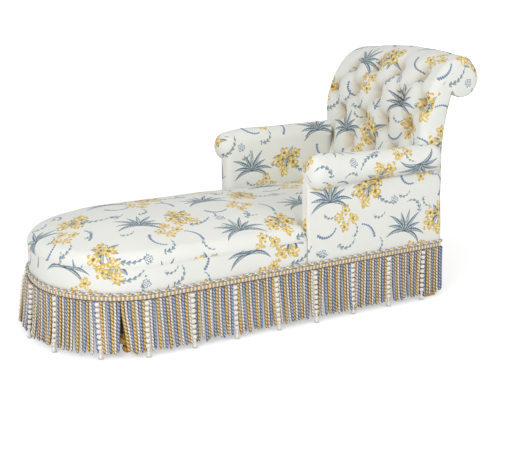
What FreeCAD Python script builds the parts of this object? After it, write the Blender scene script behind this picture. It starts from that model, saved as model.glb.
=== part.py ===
# Fainting couch with a round foot end, two low rolled arms, a deep-buttoned scroll back and a
# bullion fringe. Millimetres. +Z is up, the foot end points to -Y and the back stands at +Y.
# The origin is at floor level, in the middle of the overall length and width.
# Left and right are those of a person who leans on the back, so left is +X.
import FreeCAD, Part
import math
import os

V = FreeCAD.Vector

# Plan of the body
body_width = 684.0
body_length = 1541.0
arm_length = 621.0
overall_height = 944.0
# Heights
rail_bottom = 203.0
rail_height = 85.0
header_bottom = 205.0
border_top = 327.0
crown_top = 415.0
seat_edge_radius = 45.0
# Cloth and clearances
cover_thickness = 2.0
clearance = 0.3
# Beech frame
rail_thickness = 28.0
cross_rail_height = 60.0
rear_leg_width = 50.0
rear_leg_depth = 51.0
post_thickness = 30.0
back_post_depth = 54.0
arm_post_depth = 45.0
arm_post_setback = 24.0
arm_board_inner_reach = 45.0
arm_board_outer_reach = 30.0
arm_board_thickness = 25.0
top_rail_radius = 30.0
back_rail_height = 50.0
lower_rail_bottom = 350.0
middle_rail_bottom = 720.0
rear_rail_setback = 8.0
rear_leg_setback = 8.0
dowel_radius = 5.0
dowel_length = 50.0
dowel_fit = 0.05
dowel_spacing = 40.0
block_size = 70.0
block_height = 45.0
glue_block_leg = 50.0
glue_block_height = 50.0
foot_rail_segments = 4
# Arms
arm_body_width = 58.0
roll_radius = 54.0
roll_overhang = 48.0
roll_height = 570.0
roll_nose = 12.0
roll_round = 34.0
arm_corner_round = 26.0
roll_end_gap = 26.0
# Back
scroll_radius = 74.0
scroll_setback = 94.0
back_lean = 4.85
front_arc_low = 280.0
front_arc_high = 148.0
arc_join_angle = 45.0
back_edge_round = 24.0
back_foot_height = 300.0
waist_depth = 8.0
waist_low = 420.0
waist_high = 620.0
throat_reach = 62.0
throat_bow = 4.0
side_step_depth = 2.5
rear_zone_depth = 28.0
# Deep buttoning
button_pitch = 152.0
button_first_row = 155.0
button_row_pitch = 111.0
button_rows = 5
button_radius = 10.0
button_thickness = 5.0
button_lift = 0.9
pit_radius = 60.0
pit_depth = 16.0
# Springs and webbing
spring_columns = (-180.0, 0.0, 180.0)
spring_row_pitch = 146.0
spring_rows = 9
spring_foot_gap = 160.0
spring_end_radius = 40.0
spring_waist_radius = 27.0
spring_half_turns = 12
spring_wire = 3.8
spring_height = 142.0
web_width = 50.0
web_thickness = 2.0
web_end_gap = 4.0
web_tack_margin = 10.0
spring_seat_gap = 0.2
leg_web_gap = 5.0
leg_cloth_gap = 1.0
canvas_thickness = 1.5
canvas_inset = 14.0
dust_cover_thickness = 1.0
back_web_first = 430.0
back_web_pitch = 80.0
back_web_count = 4
# Legs and castors
front_leg_radius_place = 300.0
front_leg_angle = 24.8
leg_top_radius = 25.0
leg_tenon_radius = 10.0
leg_tenon_length = 35.0
leg_neck_rise = 12.0
leg_neck_radius = 17.5
leg_turning = ((22.0, 60.0), (24.0, 46.0), (19.0, 40.0), (23.5, 34.0), (25.0, 26.0))
wheel_radius = 17.0
wheel_width = 14.0
castor_trail = 10.0
axle_radius = 3.0
axle_fit = 0.05
axle_head = 1.2
axle_head_radius = 4.5
wheel_side_gap = 0.4
wheel_top_gap = 2.0
wheel_round = 2.0
fork_cheek = 2.5
fork_plate = 4.0
fork_plate_radius = 15.0
fork_eye_radius = 6.0
fork_cheek_back = 8.0
fork_cheek_front = 11.0
swivel_gap = 0.4
pintle_radius = 4.0
pintle_fit = 0.06
pintle_end_gap = 0.2
cup_floor = 8.0
cup_wall = 2.0
cup_bottom_radius = 17.0
cup_top_radius = 20.0
cup_height = 40.0
cup_bead_radius = 1.4
cup_bead_drop = 3.0
# Fringe
rope_radius = 5.55
cream_rope_radius = 4.6
rope_standoff = 0.8
rope_bottom = 15.0
ropes_per_tassel = 12
tassel_count = 28
tassel_radius = 4.8
tuft_radius = 6.4
tuft_top = 34.0
tuft_bottom = 5.0
cord_diameter = 12.0
braid_height = 17.7
braid_thickness = 6.0
fringe_corner = 0.5

# Places that follow from the sizes
half_width = body_width / 2
fringe_reach = clearance + cord_diameter
scroll_reach = scroll_setback + scroll_radius
overall_length = fringe_reach + body_length + scroll_reach
y_rear = overall_length / 2 - scroll_reach
y_foot = y_rear - body_length
y_foot_centre = y_foot + half_width
y_arm = y_rear - arm_length
rail_top = rail_bottom + rail_height
rail_outer = half_width - cover_thickness - clearance
rail_inner = rail_outer - rail_thickness
arm_inner = half_width - arm_body_width
roll_x = half_width + roll_overhang - roll_radius
arm_panel_inner = half_width - cover_thickness
y_leg_front = y_rear - rear_leg_setback - rear_leg_depth
y_post_front = y_rear - rear_rail_setback - back_post_depth
z_scroll = overall_height - scroll_radius
roll_drop = math.sqrt(roll_radius ** 2 - (half_width - side_step_depth - roll_x) ** 2)
side_step_height = roll_height - roll_drop + clearance


def box(x0, x1, y0, y1, z0, z1):
    """A block given by its two ends along each axis."""
    return Part.makeBox(x1 - x0, y1 - y0, z1 - z0, V(x0, y0, z0))


def rod(radius, start, end):
    """A round bar from one point to another."""
    run = end - start
    return Part.makeCylinder(radius, run.Length, start, run)


def mirrored(shape):
    """The same piece on the other side of the middle plane."""
    return shape.mirror(V(0, 0, 0), V(1, 0, 0))


def save(name, pieces):
    """Write one node from a solid or a list of solids."""
    shape = Part.makeCompound(pieces) if isinstance(pieces, list) else pieces
    shape.exportStep("parts/" + name + ".step")
    solids = len(shape.Solids)
    print(f"{name}: {solids} solid(s), {shape.Volume / 1000:.1f} cm3, valid {shape.isValid()}")


def save_pair(name, left_pieces):
    """Write a left node and its mirror image on the right."""
    pieces = left_pieces if isinstance(left_pieces, list) else [left_pieces]
    save(name + "_left", pieces if len(pieces) > 1 else pieces[0])
    others = [mirrored(piece) for piece in pieces]
    save(name + "_right", others if len(others) > 1 else others[0])


def plan_prism(inset, z0, z1, y_end=y_arm):
    """The body's plan, half round at the foot, as a prism that ends at y_end."""
    reach = half_width - inset
    disc = Part.makeCylinder(reach, z1 - z0, V(0, y_foot_centre, z0))
    front = disc.common(box(-reach, reach, y_foot_centre - reach, y_foot_centre, z0, z1))
    return front.fuse(box(-reach, reach, y_foot_centre, y_end, z0, z1)).removeSplitter()


def crown_section(inset, bottom):
    """Half of the seat's section: crowned top, rounded edge and upright border."""
    reach = half_width - inset
    edge = seat_edge_radius - inset
    top = crown_top - inset
    rise = top - border_top
    run = reach - edge
    radius = (rise ** 2 + run ** 2 - edge ** 2) / (2 * (rise - edge))
    tilt = math.asin(run / (radius - edge))

    def on_crown(angle):
        return V(radius * math.sin(angle), y_foot_centre, top - radius + radius * math.cos(angle))

    half_turn = (tilt + math.pi / 2) / 2
    on_edge = V(run + edge * math.sin(half_turn), y_foot_centre, border_top + edge * math.cos(half_turn))
    corner = V(reach, y_foot_centre, border_top)
    lines = [
        Part.Arc(on_crown(0), on_crown(tilt / 2), on_crown(tilt)).toShape(),
        Part.Arc(on_crown(tilt), on_edge, corner).toShape(),
        Part.makeLine(corner, V(reach, y_foot_centre, bottom)),
        Part.makeLine(V(reach, y_foot_centre, bottom), V(0, y_foot_centre, bottom)),
        Part.makeLine(V(0, y_foot_centre, bottom), on_crown(0)),
    ]
    return Part.Face(Part.Wire(lines))


def seat_form(inset, bottom):
    """The sprung seat as one solid: full width up to the arms, then between them."""
    section = crown_section(inset, bottom)
    foot = section.revolve(V(0, y_foot_centre, 0), V(0, 0, -1), 180)
    side = section.extrude(V(0, y_rear - y_foot_centre, 0))
    whole = side.fuse(mirrored(side))
    wide = whole.common(box(-half_width, half_width, y_foot_centre, y_arm - clearance, 0, crown_top))
    reach = arm_inner - clearance - inset
    narrow = whole.common(box(-reach, reach, y_arm - clearance, y_post_front, 0, crown_top))
    return foot.fuse([wide, narrow]).removeSplitter()


def on_front(distance):
    """Point and outward direction on the back's front, by the distance up from its foot."""
    lean = math.radians(back_lean)
    join = math.radians(arc_join_angle)
    top = V(0, y_rear + scroll_setback, overall_height)
    high = front_arc_high
    low = front_arc_low
    middle = top - V(0, high * math.cos(join), high * (1 - math.sin(join)))
    rise = math.sin(join) - math.sin(lean)
    start = middle - V(0, low * (math.cos(lean) - math.cos(join)), low * rise)
    straight = (start.z - back_foot_height) / math.cos(lean)
    low_length = low * (join - lean)
    if distance <= straight:
        angle = lean
        step = distance - straight
        point = start + V(0, step * math.sin(lean), step * math.cos(lean))
    elif distance <= straight + low_length:
        angle = lean + (distance - straight) / low
        across = low * (math.cos(lean) - math.cos(angle))
        point = start + V(0, across, low * (math.sin(angle) - math.sin(lean)))
    else:
        angle = join + (distance - straight - low_length) / high
        across = high * (math.cos(join) - math.cos(angle))
        point = middle + V(0, across, high * (math.sin(angle) - math.sin(join)))
    return point, V(0, -math.cos(angle), math.sin(angle))


def front_lengths():
    """Distances up the front at which its straight, low arc and high arc end."""
    lean = math.radians(back_lean)
    join = math.radians(arc_join_angle)
    drop = front_arc_high * (1 - math.sin(join))
    drop += front_arc_low * (math.sin(join) - math.sin(lean))
    straight = (overall_height - drop - back_foot_height) / math.cos(lean)
    low_end = straight + front_arc_low * (join - lean)
    return straight, low_end, low_end + front_arc_high * (math.pi / 2 - join)


def back_outline(inset):
    """Side view of the back, up to the scroll's centre line, with every face moved in."""
    straight, low_end, top_end = front_lengths()

    def front_at(distance):
        point, outward = on_front(distance)
        return point - outward * inset

    foot_run = (back_foot_height - header_bottom) / math.cos(math.radians(back_lean))
    front_low = front_at(-foot_run)
    front_high = front_at(straight)
    join = front_at(low_end)
    top = front_at(top_end)
    inward = V(0, -inset, 0)
    scroll_centre = V(0, y_rear + scroll_setback, z_scroll)
    throat_drop = math.sqrt(scroll_radius ** 2 - throat_reach ** 2)
    throat = scroll_centre + V(0, -throat_reach, -throat_drop) + inward
    waist_top = V(0, y_rear - waist_depth, waist_high) + inward
    waist_foot = V(0, y_rear - waist_depth, waist_low) + inward
    halfway = (throat + waist_top) * 0.5 + V(0, -throat_bow, 0)
    rear_low = V(0, y_rear, header_bottom) + inward
    lines = [
        Part.makeLine(front_low, front_high),
        Part.Arc(front_high, front_at((straight + low_end) / 2), join).toShape(),
        Part.Arc(join, front_at((low_end + top_end) / 2), top).toShape(),
        Part.makeLine(top, scroll_centre),
        Part.makeLine(scroll_centre, throat),
        Part.Arc(throat, halfway, waist_top).toShape(),
        Part.makeLine(waist_top, waist_foot),
        Part.makeLine(waist_foot, rear_low),
        Part.makeLine(rear_low, front_low),
    ]
    return Part.Wire(lines)


def back_slab(inset, reach):
    """The back without its scroll, as a prism that reaches to both sides."""
    slab = Part.Face(back_outline(inset)).extrude(V(2 * reach, 0, 0))
    slab.translate(V(-reach, 0, 0))
    return slab


def scroll_bar(inset, reach):
    """The scroll as a round bar across the top of the back."""
    centre = V(0, y_rear + scroll_setback, z_scroll)
    return rod(scroll_radius - inset, centre - V(reach, 0, 0), centre + V(reach, 0, 0))


def step_sides(slab, inset, room):
    """Cut the sides of the back in below the arm rolls, where the arm panels cover them."""
    low_reach = half_width - side_step_depth - inset
    for side in (-1, 1):
        x0, x1 = sorted((side * low_reach, side * (half_width + 1)))
        slab = slab.cut(box(x0, x1, y_arm, y_rear + 1, 0, side_step_height + room))
    return slab


def back_form(inset):
    """The upholstered back as one solid with rounded side edges and scroll ends."""
    reach = half_width - inset
    slab = back_slab(inset, reach)
    front_edges = []
    for edge in slab.Edges:
        middle = edge.CenterOfMass
        at_side = abs(abs(middle.x) - reach) < 0.01
        on_top = middle.z > z_scroll and middle.y < y_rear + scroll_setback - 1
        in_front = middle.z > back_foot_height and middle.y < y_rear - waist_depth - back_post_depth
        if at_side and (on_top or in_front):
            front_edges.append(edge)
    slab = slab.makeFillet(back_edge_round - inset, front_edges)
    bar = scroll_bar(inset, reach)
    rims = [edge for edge in bar.Edges if isinstance(edge.Curve, Part.Circle)]
    bar = bar.makeFillet(back_edge_round - inset, rims)
    return step_sides(slab.fuse(bar), inset, inset)


def arm_form(inset, outer):
    """One arm: a roll with a rounded nose on an upright body, between given faces."""
    radius = roll_radius - inset
    start = V(roll_x, y_arm - roll_nose + inset, roll_height)
    end = V(roll_x, y_rear - roll_end_gap - inset, roll_height)
    roll = rod(radius, start, end)
    rims = [e for e in roll.Edges if isinstance(e.Curve, Part.Circle)]
    roll = roll.makeFillet(roll_round - inset, [e for e in rims if e.CenterOfMass.y < y_arm])
    body = box(arm_inner + inset, outer, y_arm + inset, y_post_front, rail_top + clearance, roll_height)
    corner = [e for e in body.Edges if abs(e.CenterOfMass.x - arm_inner - inset) < 0.01
              and abs(e.CenterOfMass.y - y_arm - inset) < 0.01]
    body = body.makeFillet(arm_corner_round - inset, corner)
    return roll.fuse(body)


def fringe_point(distance, offset):
    """Place on a line round the body at an offset, by the distance from the left rear corner."""
    radius = half_width + offset
    side_run = y_rear - fringe_corner - y_foot_centre
    half_round = math.pi * radius
    corner_radius = fringe_corner + offset
    quarter = corner_radius * math.pi / 2
    rear_run = body_width - 2 * fringe_corner
    if distance < side_run:
        return V(radius, y_rear - fringe_corner - distance, 0)
    distance -= side_run
    if distance < half_round:
        angle = distance / radius
        return V(radius * math.cos(angle), y_foot_centre - radius * math.sin(angle), 0)
    distance -= half_round
    if distance < side_run:
        return V(-radius, y_foot_centre + distance, 0)
    distance -= side_run
    centre = V(half_width - fringe_corner, y_rear - fringe_corner, 0)
    if distance < quarter:
        angle = distance / corner_radius
        corner = V(-corner_radius * math.cos(angle), corner_radius * math.sin(angle), 0)
        return V(-centre.x, centre.y, 0) + corner
    distance -= quarter
    if distance < rear_run:
        return V(-centre.x + distance, y_rear + offset, 0)
    angle = (distance - rear_run) / corner_radius
    return centre + V(corner_radius * math.sin(angle), corner_radius * math.cos(angle), 0)


def fringe_length(offset):
    """Length of the line round the body at an offset."""
    side_run = y_rear - fringe_corner - y_foot_centre
    corners = math.pi * (fringe_corner + offset)
    return 2 * side_run + math.pi * (half_width + offset) + corners + body_width - 2 * fringe_corner


def fringe_wire(offset, z):
    """Closed line round the body at an offset: two sides, the foot and two rear corners."""
    radius = half_width + offset
    y_corner = y_rear - fringe_corner
    x_corner = half_width - fringe_corner
    bend = (fringe_corner + offset) * math.sqrt(0.5)
    left_start = V(radius, y_corner, z)
    left_end = V(radius, y_foot_centre, z)
    right_start = V(-radius, y_foot_centre, z)
    right_end = V(-radius, y_corner, z)
    rear_right = V(-x_corner, y_rear + offset, z)
    rear_left = V(x_corner, y_rear + offset, z)
    lines = [
        Part.makeLine(left_start, left_end),
        Part.Arc(left_end, V(0, y_foot_centre - radius, z), right_start).toShape(),
        Part.makeLine(right_start, right_end),
        Part.Arc(right_end, V(-x_corner - bend, y_corner + bend, z), rear_right).toShape(),
        Part.makeLine(rear_right, rear_left),
        Part.Arc(rear_left, V(x_corner + bend, y_corner + bend, z), left_start).toShape(),
    ]
    return Part.Wire(lines)


def band(inner, outer, z0, z1):
    """A flat band that runs round the body between two offsets."""
    whole = Part.Face(fringe_wire(outer, z0)).extrude(V(0, 0, z1 - z0))
    return whole.cut(Part.Face(fringe_wire(inner, z0)).extrude(V(0, 0, z1 - z0)))


def coil_spring():
    """An hourglass coil of tilted half turns that meet end to end, standing on z = 0."""
    wire_radius = spring_wire / 2
    climb = (spring_height - spring_wire) / spring_half_turns
    spine = []
    for step in range(spring_half_turns + 1):
        share = abs(2 * step / spring_half_turns - 1)
        radius = spring_waist_radius + (spring_end_radius - spring_waist_radius) * share ** 2
        side = 1 if step % 2 == 0 else -1
        spine.append(V(side * radius, 0, wire_radius + climb * step))
    turns = []
    for step in range(spring_half_turns):
        start, end = spine[step], spine[step + 1]
        chord = end - start
        section = Part.Face(Part.Wire(Part.makeCircle(wire_radius, start, V(0, 1, 0))))
        axis = chord.cross(V(0, 1, 0))
        if step % 2:
            axis = axis * -1
        turns.append(section.revolve((start + end) * 0.5, axis, 180))
    return turns[0].fuse(turns[1:]).removeSplitter()


def turned(profile, centre):
    """A turned piece from (radius, height) pairs, about an upright axis."""
    points = [V(0, 0, profile[0][1])] + [V(r, 0, z) for r, z in profile] + [V(0, 0, profile[-1][1])]
    face = Part.Face(Part.makePolygon(points + [points[0]]))
    solid = face.revolve(V(0, 0, 0), V(0, 0, 1), 360)
    solid.translate(centre)
    return solid


os.makedirs("parts", exist_ok=True)

# Beech frame of the seat
dowels = []
dowel_holes = []


def add_dowels(x, y, direction):
    """Two dowels, one above the other, across a joint of the seat frame."""
    for step in (-0.5, 0.5):
        middle = V(x, y, rail_bottom + rail_height / 2 + step * dowel_spacing)
        reach = direction * (dowel_length / 2)
        hole_reach = direction * (dowel_length / 2 + dowel_fit)
        dowels.append(rod(dowel_radius, middle - reach, middle + reach))
        dowel_holes.append(rod(dowel_radius + dowel_fit, middle - hole_reach, middle + hole_reach))


rail_middle = (rail_inner + rail_outer) / 2
y_rear_rail = y_rear - rear_rail_setback - rail_thickness
post_outer = half_width - side_step_depth - cover_thickness - 2 * clearance
leg_inner = post_outer - rear_leg_width
for side in (-1, 1):
    add_dowels(side * rail_middle, y_foot_centre, V(0, 1, 0))
    add_dowels(side * rail_middle, y_leg_front, V(0, 1, 0))
    add_dowels(side * leg_inner, y_rear_rail + rail_thickness / 2, V(1, 0, 0))


def drilled(shape):
    """A piece with the holes for the dowels that enter it."""
    near = [hole for hole in dowel_holes if hole.BoundBox.intersect(shape.BoundBox)]
    return shape.cut(near) if near else shape


save("rail_dowels", dowels)
side_rail = box(rail_inner, rail_outer, y_foot_centre, y_leg_front, rail_bottom, rail_top)
save_pair("seat_rail", drilled(side_rail))

ring = Part.makeCylinder(rail_outer, rail_height, V(0, y_foot_centre, rail_bottom))
ring = ring.cut(Part.makeCylinder(rail_inner, rail_height, V(0, y_foot_centre, rail_bottom)))
foot_segments = []
segment_angle = 180 / foot_rail_segments
for step in range(foot_rail_segments):
    wedge = Part.makeCylinder(half_width, rail_height, V(0, 0, rail_bottom), V(0, 0, 1), segment_angle)
    wedge.rotate(V(0, 0, 0), V(0, 0, 1), 180 + segment_angle * step)
    wedge.translate(V(0, y_foot_centre, 0))
    foot_segments.append(drilled(ring.common(wedge)))
save("foot_rail", foot_segments)

rear_rail = box(-leg_inner, leg_inner, y_rear_rail, y_rear_rail + rail_thickness, rail_bottom, rail_top)
save("rear_seat_rail", drilled(rear_rail))

arm_post_middle = y_arm + arm_post_setback + arm_post_depth / 2
cross_front = arm_post_middle - rail_thickness / 2
arm_post_inner = arm_inner + cover_thickness + 2 * clearance
cross_rail = box(-arm_post_inner, arm_post_inner, cross_front, cross_front + rail_thickness,
                 rail_bottom, rail_bottom + cross_rail_height)
save("seat_cross_rail", cross_rail)

leg_angle = math.radians(front_leg_angle)
leg_place = V(front_leg_radius_place * math.cos(leg_angle),
              y_foot_centre - front_leg_radius_place * math.sin(leg_angle), 0)


def leg_block():
    """Block glued inside the foot rail, bored for the tenon of a front leg."""
    half = block_size / 2
    block = box(-half, half, -half, half, rail_bottom, rail_bottom + block_height)
    block.rotate(V(0, 0, 0), V(0, 0, 1), -front_leg_angle)
    block.translate(leg_place)
    block = block.common(Part.makeCylinder(rail_inner, rail_top, V(0, y_foot_centre, 0)))
    bore = Part.makeCylinder(leg_tenon_radius + dowel_fit, leg_tenon_length + dowel_fit,
                             leg_place + V(0, 0, rail_bottom))
    return block.cut(bore)


save_pair("leg_block", leg_block())

glue_blocks = []
for side in (-1, 1):
    corner = V(side * arm_post_inner, cross_front, rail_bottom)
    corners = [corner, corner + V(-side * glue_block_leg, 0, 0), corner + V(0, -glue_block_leg, 0)]
    base = Part.Face(Part.makePolygon(corners + [corner]))
    glue_blocks.append(base.extrude(V(0, 0, glue_block_height)))
    corner = V(side * leg_inner, y_rear_rail, rail_bottom)
    corners = [corner, corner + V(-side * glue_block_leg, 0, 0),
               corner + V(0, y_leg_front - y_rear_rail, 0)]
    base = Part.Face(Part.makePolygon(corners + [corner]))
    glue_blocks.append(base.extrude(V(0, 0, glue_block_height)))
save("corner_blocks", glue_blocks)

# Front legs and their brass castors
z_axle = wheel_radius
z_fork_plate = 2 * wheel_radius + wheel_top_gap
z_cup = z_fork_plate + fork_plate + swivel_gap
z_leg_foot = z_cup + cup_floor
z_cup_top = z_cup + cup_height
leg_profile = [(cup_bottom_radius - cup_wall, z_leg_foot), (cup_top_radius - cup_wall, z_cup_top)]
leg_profile.append((cup_top_radius - cup_wall / 2, z_cup_top + cup_wall))
leg_profile.append((leg_neck_radius, z_cup_top + leg_neck_rise))
for radius, drop in leg_turning:
    leg_profile.append((radius, rail_bottom - drop))
leg_profile.append((leg_top_radius, rail_bottom))
leg_profile.append((leg_tenon_radius, rail_bottom))
leg_profile.append((leg_tenon_radius, rail_bottom + leg_tenon_length))
save_pair("front_leg", turned(leg_profile, leg_place))

cup_profile = [
    (cup_bottom_radius, z_cup),
    (cup_top_radius, z_cup_top),
    (cup_top_radius - cup_wall + dowel_fit, z_cup_top),
    (cup_bottom_radius - cup_wall + dowel_fit, z_leg_foot),
]
cup = turned(cup_profile, leg_place)
z_bead = z_cup_top - cup_bead_drop
bead = Part.makeTorus(cup_top_radius, cup_bead_radius, leg_place + V(0, 0, z_bead))
bead_core = Part.makeCylinder(cup_top_radius - cup_wall / 2, 4 * cup_bead_radius,
                              leg_place + V(0, 0, z_bead - 2 * cup_bead_radius))
cup = cup.fuse(bead.cut(bead_core))
pintle_bore = Part.makeCylinder(pintle_radius + pintle_fit, cup_floor, leg_place + V(0, 0, z_cup))
save_pair("castor_cup", cup.cut(pintle_bore))

axle_place = leg_place + V(0, castor_trail, z_axle)
cheek_inner = wheel_width / 2 + wheel_side_gap
cheek_outer = cheek_inner + fork_cheek
z_plate_top = z_fork_plate + fork_plate
plate = Part.makeCylinder(fork_plate_radius, fork_plate, leg_place + V(0, 0, z_fork_plate))
pintle = Part.makeCylinder(pintle_radius, z_leg_foot - pintle_end_gap - z_fork_plate,
                           leg_place + V(0, 0, z_fork_plate))
cheeks = []
for side in (-1, 1):
    x0 = leg_place.x + min(side * cheek_inner, side * cheek_outer)
    arm_points = [
        V(x0, leg_place.y - fork_cheek_back, z_plate_top),
        V(x0, leg_place.y + fork_cheek_front, z_plate_top),
        V(x0, axle_place.y + fork_eye_radius, z_axle),
        V(x0, axle_place.y - fork_eye_radius, z_axle),
    ]
    cheek = Part.Face(Part.makePolygon(arm_points + [arm_points[0]])).extrude(V(fork_cheek, 0, 0))
    eye_ring = Part.makeCylinder(fork_eye_radius, fork_cheek, V(x0, axle_place.y, z_axle), V(1, 0, 0))
    cheeks.append(cheek.fuse(eye_ring))
fork = plate.fuse([pintle] + cheeks)
eye_reach = V(2 * cheek_outer, 0, 0)
eye = rod(axle_radius + axle_fit, axle_place - eye_reach, axle_place + eye_reach)
save_pair("castor_fork", fork.cut(eye).removeSplitter())
axle_end = V(cheek_outer + axle_head, 0, 0)
axle = rod(axle_radius, axle_place - axle_end, axle_place + axle_end)
for side in (-1, 1):
    head_start = axle_place + V(side * (cheek_outer + axle_fit), 0, 0)
    axle = axle.fuse(rod(axle_head_radius, head_start, head_start + V(side * axle_head, 0, 0)))
save_pair("castor_axle", axle)
wheel_half = V(wheel_width / 2, 0, 0)
wheel = rod(wheel_radius, axle_place - wheel_half, axle_place + wheel_half)
wheel = wheel.makeFillet(wheel_round, [e for e in wheel.Edges if isinstance(e.Curve, Part.Circle)])
save_pair("castor_wheel", wheel.cut(eye))

# Posts and rails of the back and the arms
post_inner = post_outer - post_thickness
core = back_slab(back_edge_round + cover_thickness, half_width)
core = core.fuse(scroll_bar(back_edge_round + cover_thickness, half_width))
lining = back_slab(cover_thickness + clearance, half_width)
slab = box(post_inner, post_outer, y_post_front, y_rear + scroll_reach, rail_top, overall_height)
low_slab = box(post_inner, post_outer, y_post_front, y_rear, rail_top, z_scroll - scroll_radius)
upright = core.common(slab).fuse(lining.common(low_slab))
rear_leg = box(leg_inner, post_outer,
               y_leg_front, y_leg_front + rear_leg_depth, 0, rail_top)
back_post = drilled(rear_leg).fuse(upright).removeSplitter()
save_pair("back_post", back_post)

top_rail = rod(top_rail_radius, V(-post_inner, y_rear + scroll_setback, z_scroll),
               V(post_inner, y_rear + scroll_setback, z_scroll))
save("back_top_rail", top_rail)
y_back_rail = y_rear - waist_depth - cover_thickness - clearance - rail_thickness


def back_rail(bottom):
    """A rail between the back posts, flush with their rear faces."""
    return box(-post_inner, post_inner, y_back_rail, y_back_rail + rail_thickness,
               bottom, bottom + back_rail_height)


middle_rail = back_rail(middle_rail_bottom)
save("back_middle_rail", middle_rail)
save("back_lower_rail", back_rail(lower_rail_bottom))

web_reach = post_outer - web_end_gap
back_webs = []
for step in range(back_web_count):
    z = back_web_first + step * back_web_pitch
    back_webs.append(box(-web_reach, web_reach, y_post_front - web_thickness, y_post_front,
                         z, z + web_width))
save("back_webbing", back_webs)

z_board = roll_height - arm_board_thickness / 2
arm_post = box(arm_post_inner, rail_inner, arm_post_middle - arm_post_depth / 2,
               arm_post_middle + arm_post_depth / 2, rail_bottom, z_board)
save_pair("arm_post", arm_post)
back_face_low = on_front(z_board - back_foot_height)[0].y
arm_board = box(roll_x - arm_board_inner_reach, roll_x + arm_board_outer_reach,
                arm_post_middle - arm_post_depth / 2, back_face_low - clearance,
                z_board, z_board + arm_board_thickness)
save_pair("arm_board", arm_board)

# Webbing, springs and canvas of the seat
web_top = rail_bottom
long_webs = []
for x in spring_columns:
    reach = rail_outer - web_tack_margin
    y_start = y_foot_centre - math.sqrt(reach ** 2 - (abs(x) + web_width / 2) ** 2)
    long_webs.append(box(x - web_width / 2, x + web_width / 2, y_start, y_rear_rail + rail_thickness,
                         web_top - web_thickness, web_top))
cross_webs = []
spring_places = []
for row in range(spring_rows):
    y = y_foot + spring_foot_gap + row * spring_row_pitch
    depth = max(0.0, y_foot_centre - y + web_width / 2)
    reach = math.sqrt((rail_outer - web_tack_margin) ** 2 - depth ** 2)
    leg_gap = abs(y - leg_place.y) - web_width / 2 - leg_top_radius
    if leg_gap < 0:
        reach = min(reach, leg_place.x - leg_top_radius - leg_web_gap)
    cross_webs.append(box(-reach, reach, y - web_width / 2, y + web_width / 2,
                          web_top - 2 * web_thickness, web_top - web_thickness))
    for x in spring_columns:
        room = rail_inner - spring_end_radius - spring_wire
        inside = y > y_foot_centre or math.hypot(x, y - y_foot_centre) < room
        clear_of_cross = abs(y - arm_post_middle) > spring_end_radius + rail_thickness / 2 + spring_wire
        if inside and clear_of_cross:
            spring_places.append(V(x, y, web_top + spring_seat_gap))
save("seat_webbing", long_webs + cross_webs)
spring = coil_spring()
springs = []
for place in spring_places:
    copy = spring.copy()
    copy.translate(place)
    springs.append(copy)
save("seat_springs", springs)

back_envelope = step_sides(back_slab(-clearance, half_width + clearance), -clearance, -clearance)

z_canvas = web_top + 2 * spring_seat_gap + spring_height


def tray(inset, top):
    """The raised canvas over the springs as a block: full plan, then between the arms."""
    y_neck = y_arm - inset
    wide = plan_prism(inset, rail_top, top, y_neck)
    reach = arm_inner - inset
    narrow = box(-reach, reach, y_neck, y_post_front - canvas_inset - inset, rail_top, top)
    return wide.fuse(narrow).removeSplitter()


canvas_outer = tray(canvas_inset, z_canvas + canvas_thickness)
canvas = canvas_outer.cut(tray(canvas_inset + canvas_thickness, z_canvas))
canvas = canvas.cut(back_envelope)
save("seat_canvas", canvas)

seat_outer = seat_form(0, header_bottom)
seat_inner = seat_form(cover_thickness, 0)
arm_zone = box(-half_width, half_width, y_arm - clearance, y_rear, 0, rail_top + clearance)
seat_cover = seat_outer.cut(seat_inner).cut(back_envelope).cut(arm_zone)
save("seat_cover", seat_cover)
seat_pad = seat_form(cover_thickness + clearance, rail_top).cut(canvas_outer).cut(back_envelope)
save("seat_stuffing", seat_pad)

z_dust = web_top - 2 * web_thickness - spring_seat_gap
dust_cover = plan_prism(web_tack_margin, z_dust - dust_cover_thickness, z_dust,
                        y_leg_front - leg_web_gap)
for x in (-leg_place.x, leg_place.x):
    hole = Part.makeCylinder(leg_top_radius + leg_cloth_gap, rail_bottom, V(x, leg_place.y, 0))
    dust_cover = dust_cover.cut(hole)
save("dust_cover", dust_cover)

# Arms
arm_outer = arm_form(0, arm_panel_inner - clearance)
arm_inside = arm_form(cover_thickness, half_width)
arm_cover = arm_outer.cut(arm_inside).cut(back_envelope)
save_pair("arm_cover", arm_cover)
arm_pad = arm_form(cover_thickness + clearance, arm_panel_inner - clearance)
arm_pad = arm_pad.cut(back_envelope).cut([arm_post, arm_board, back_post])
save_pair("arm_stuffing", arm_pad)
panel = box(arm_panel_inner, half_width, y_arm, y_rear - cover_thickness - clearance,
            header_bottom, roll_height)
panel = panel.cut(rod(roll_radius + clearance, V(roll_x, y_foot, roll_height),
                      V(roll_x, y_rear, roll_height)))
save_pair("outside_arm_panel", panel)

# Back
back_outer = back_form(0)
back_inside = back_form(cover_thickness)
rear_zone = box(-half_width, half_width, y_rear - rear_zone_depth, y_rear + throat_reach,
                header_bottom, z_scroll - scroll_radius / 2)
pits = []
deep_pits = []
buttons = []
for row in range(button_rows):
    distance = button_first_row + row * button_row_pitch
    point, outward = on_front(distance)
    count = 4 if row % 2 == 0 else 3
    for step in range(count):
        x = (step - (count - 1) / 2) * button_pitch
        centre = point + outward * (pit_radius - pit_depth) + V(x, 0, 0)
        pits.append(Part.makeSphere(pit_radius, centre))
        deep_pits.append(Part.makeSphere(pit_radius + cover_thickness, centre))
        seat_point = point + V(x, 0, 0) - outward * (pit_depth - button_lift)
        buttons.append(Part.makeCylinder(button_radius, button_thickness, seat_point, outward))
save("back_buttons", buttons)

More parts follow.
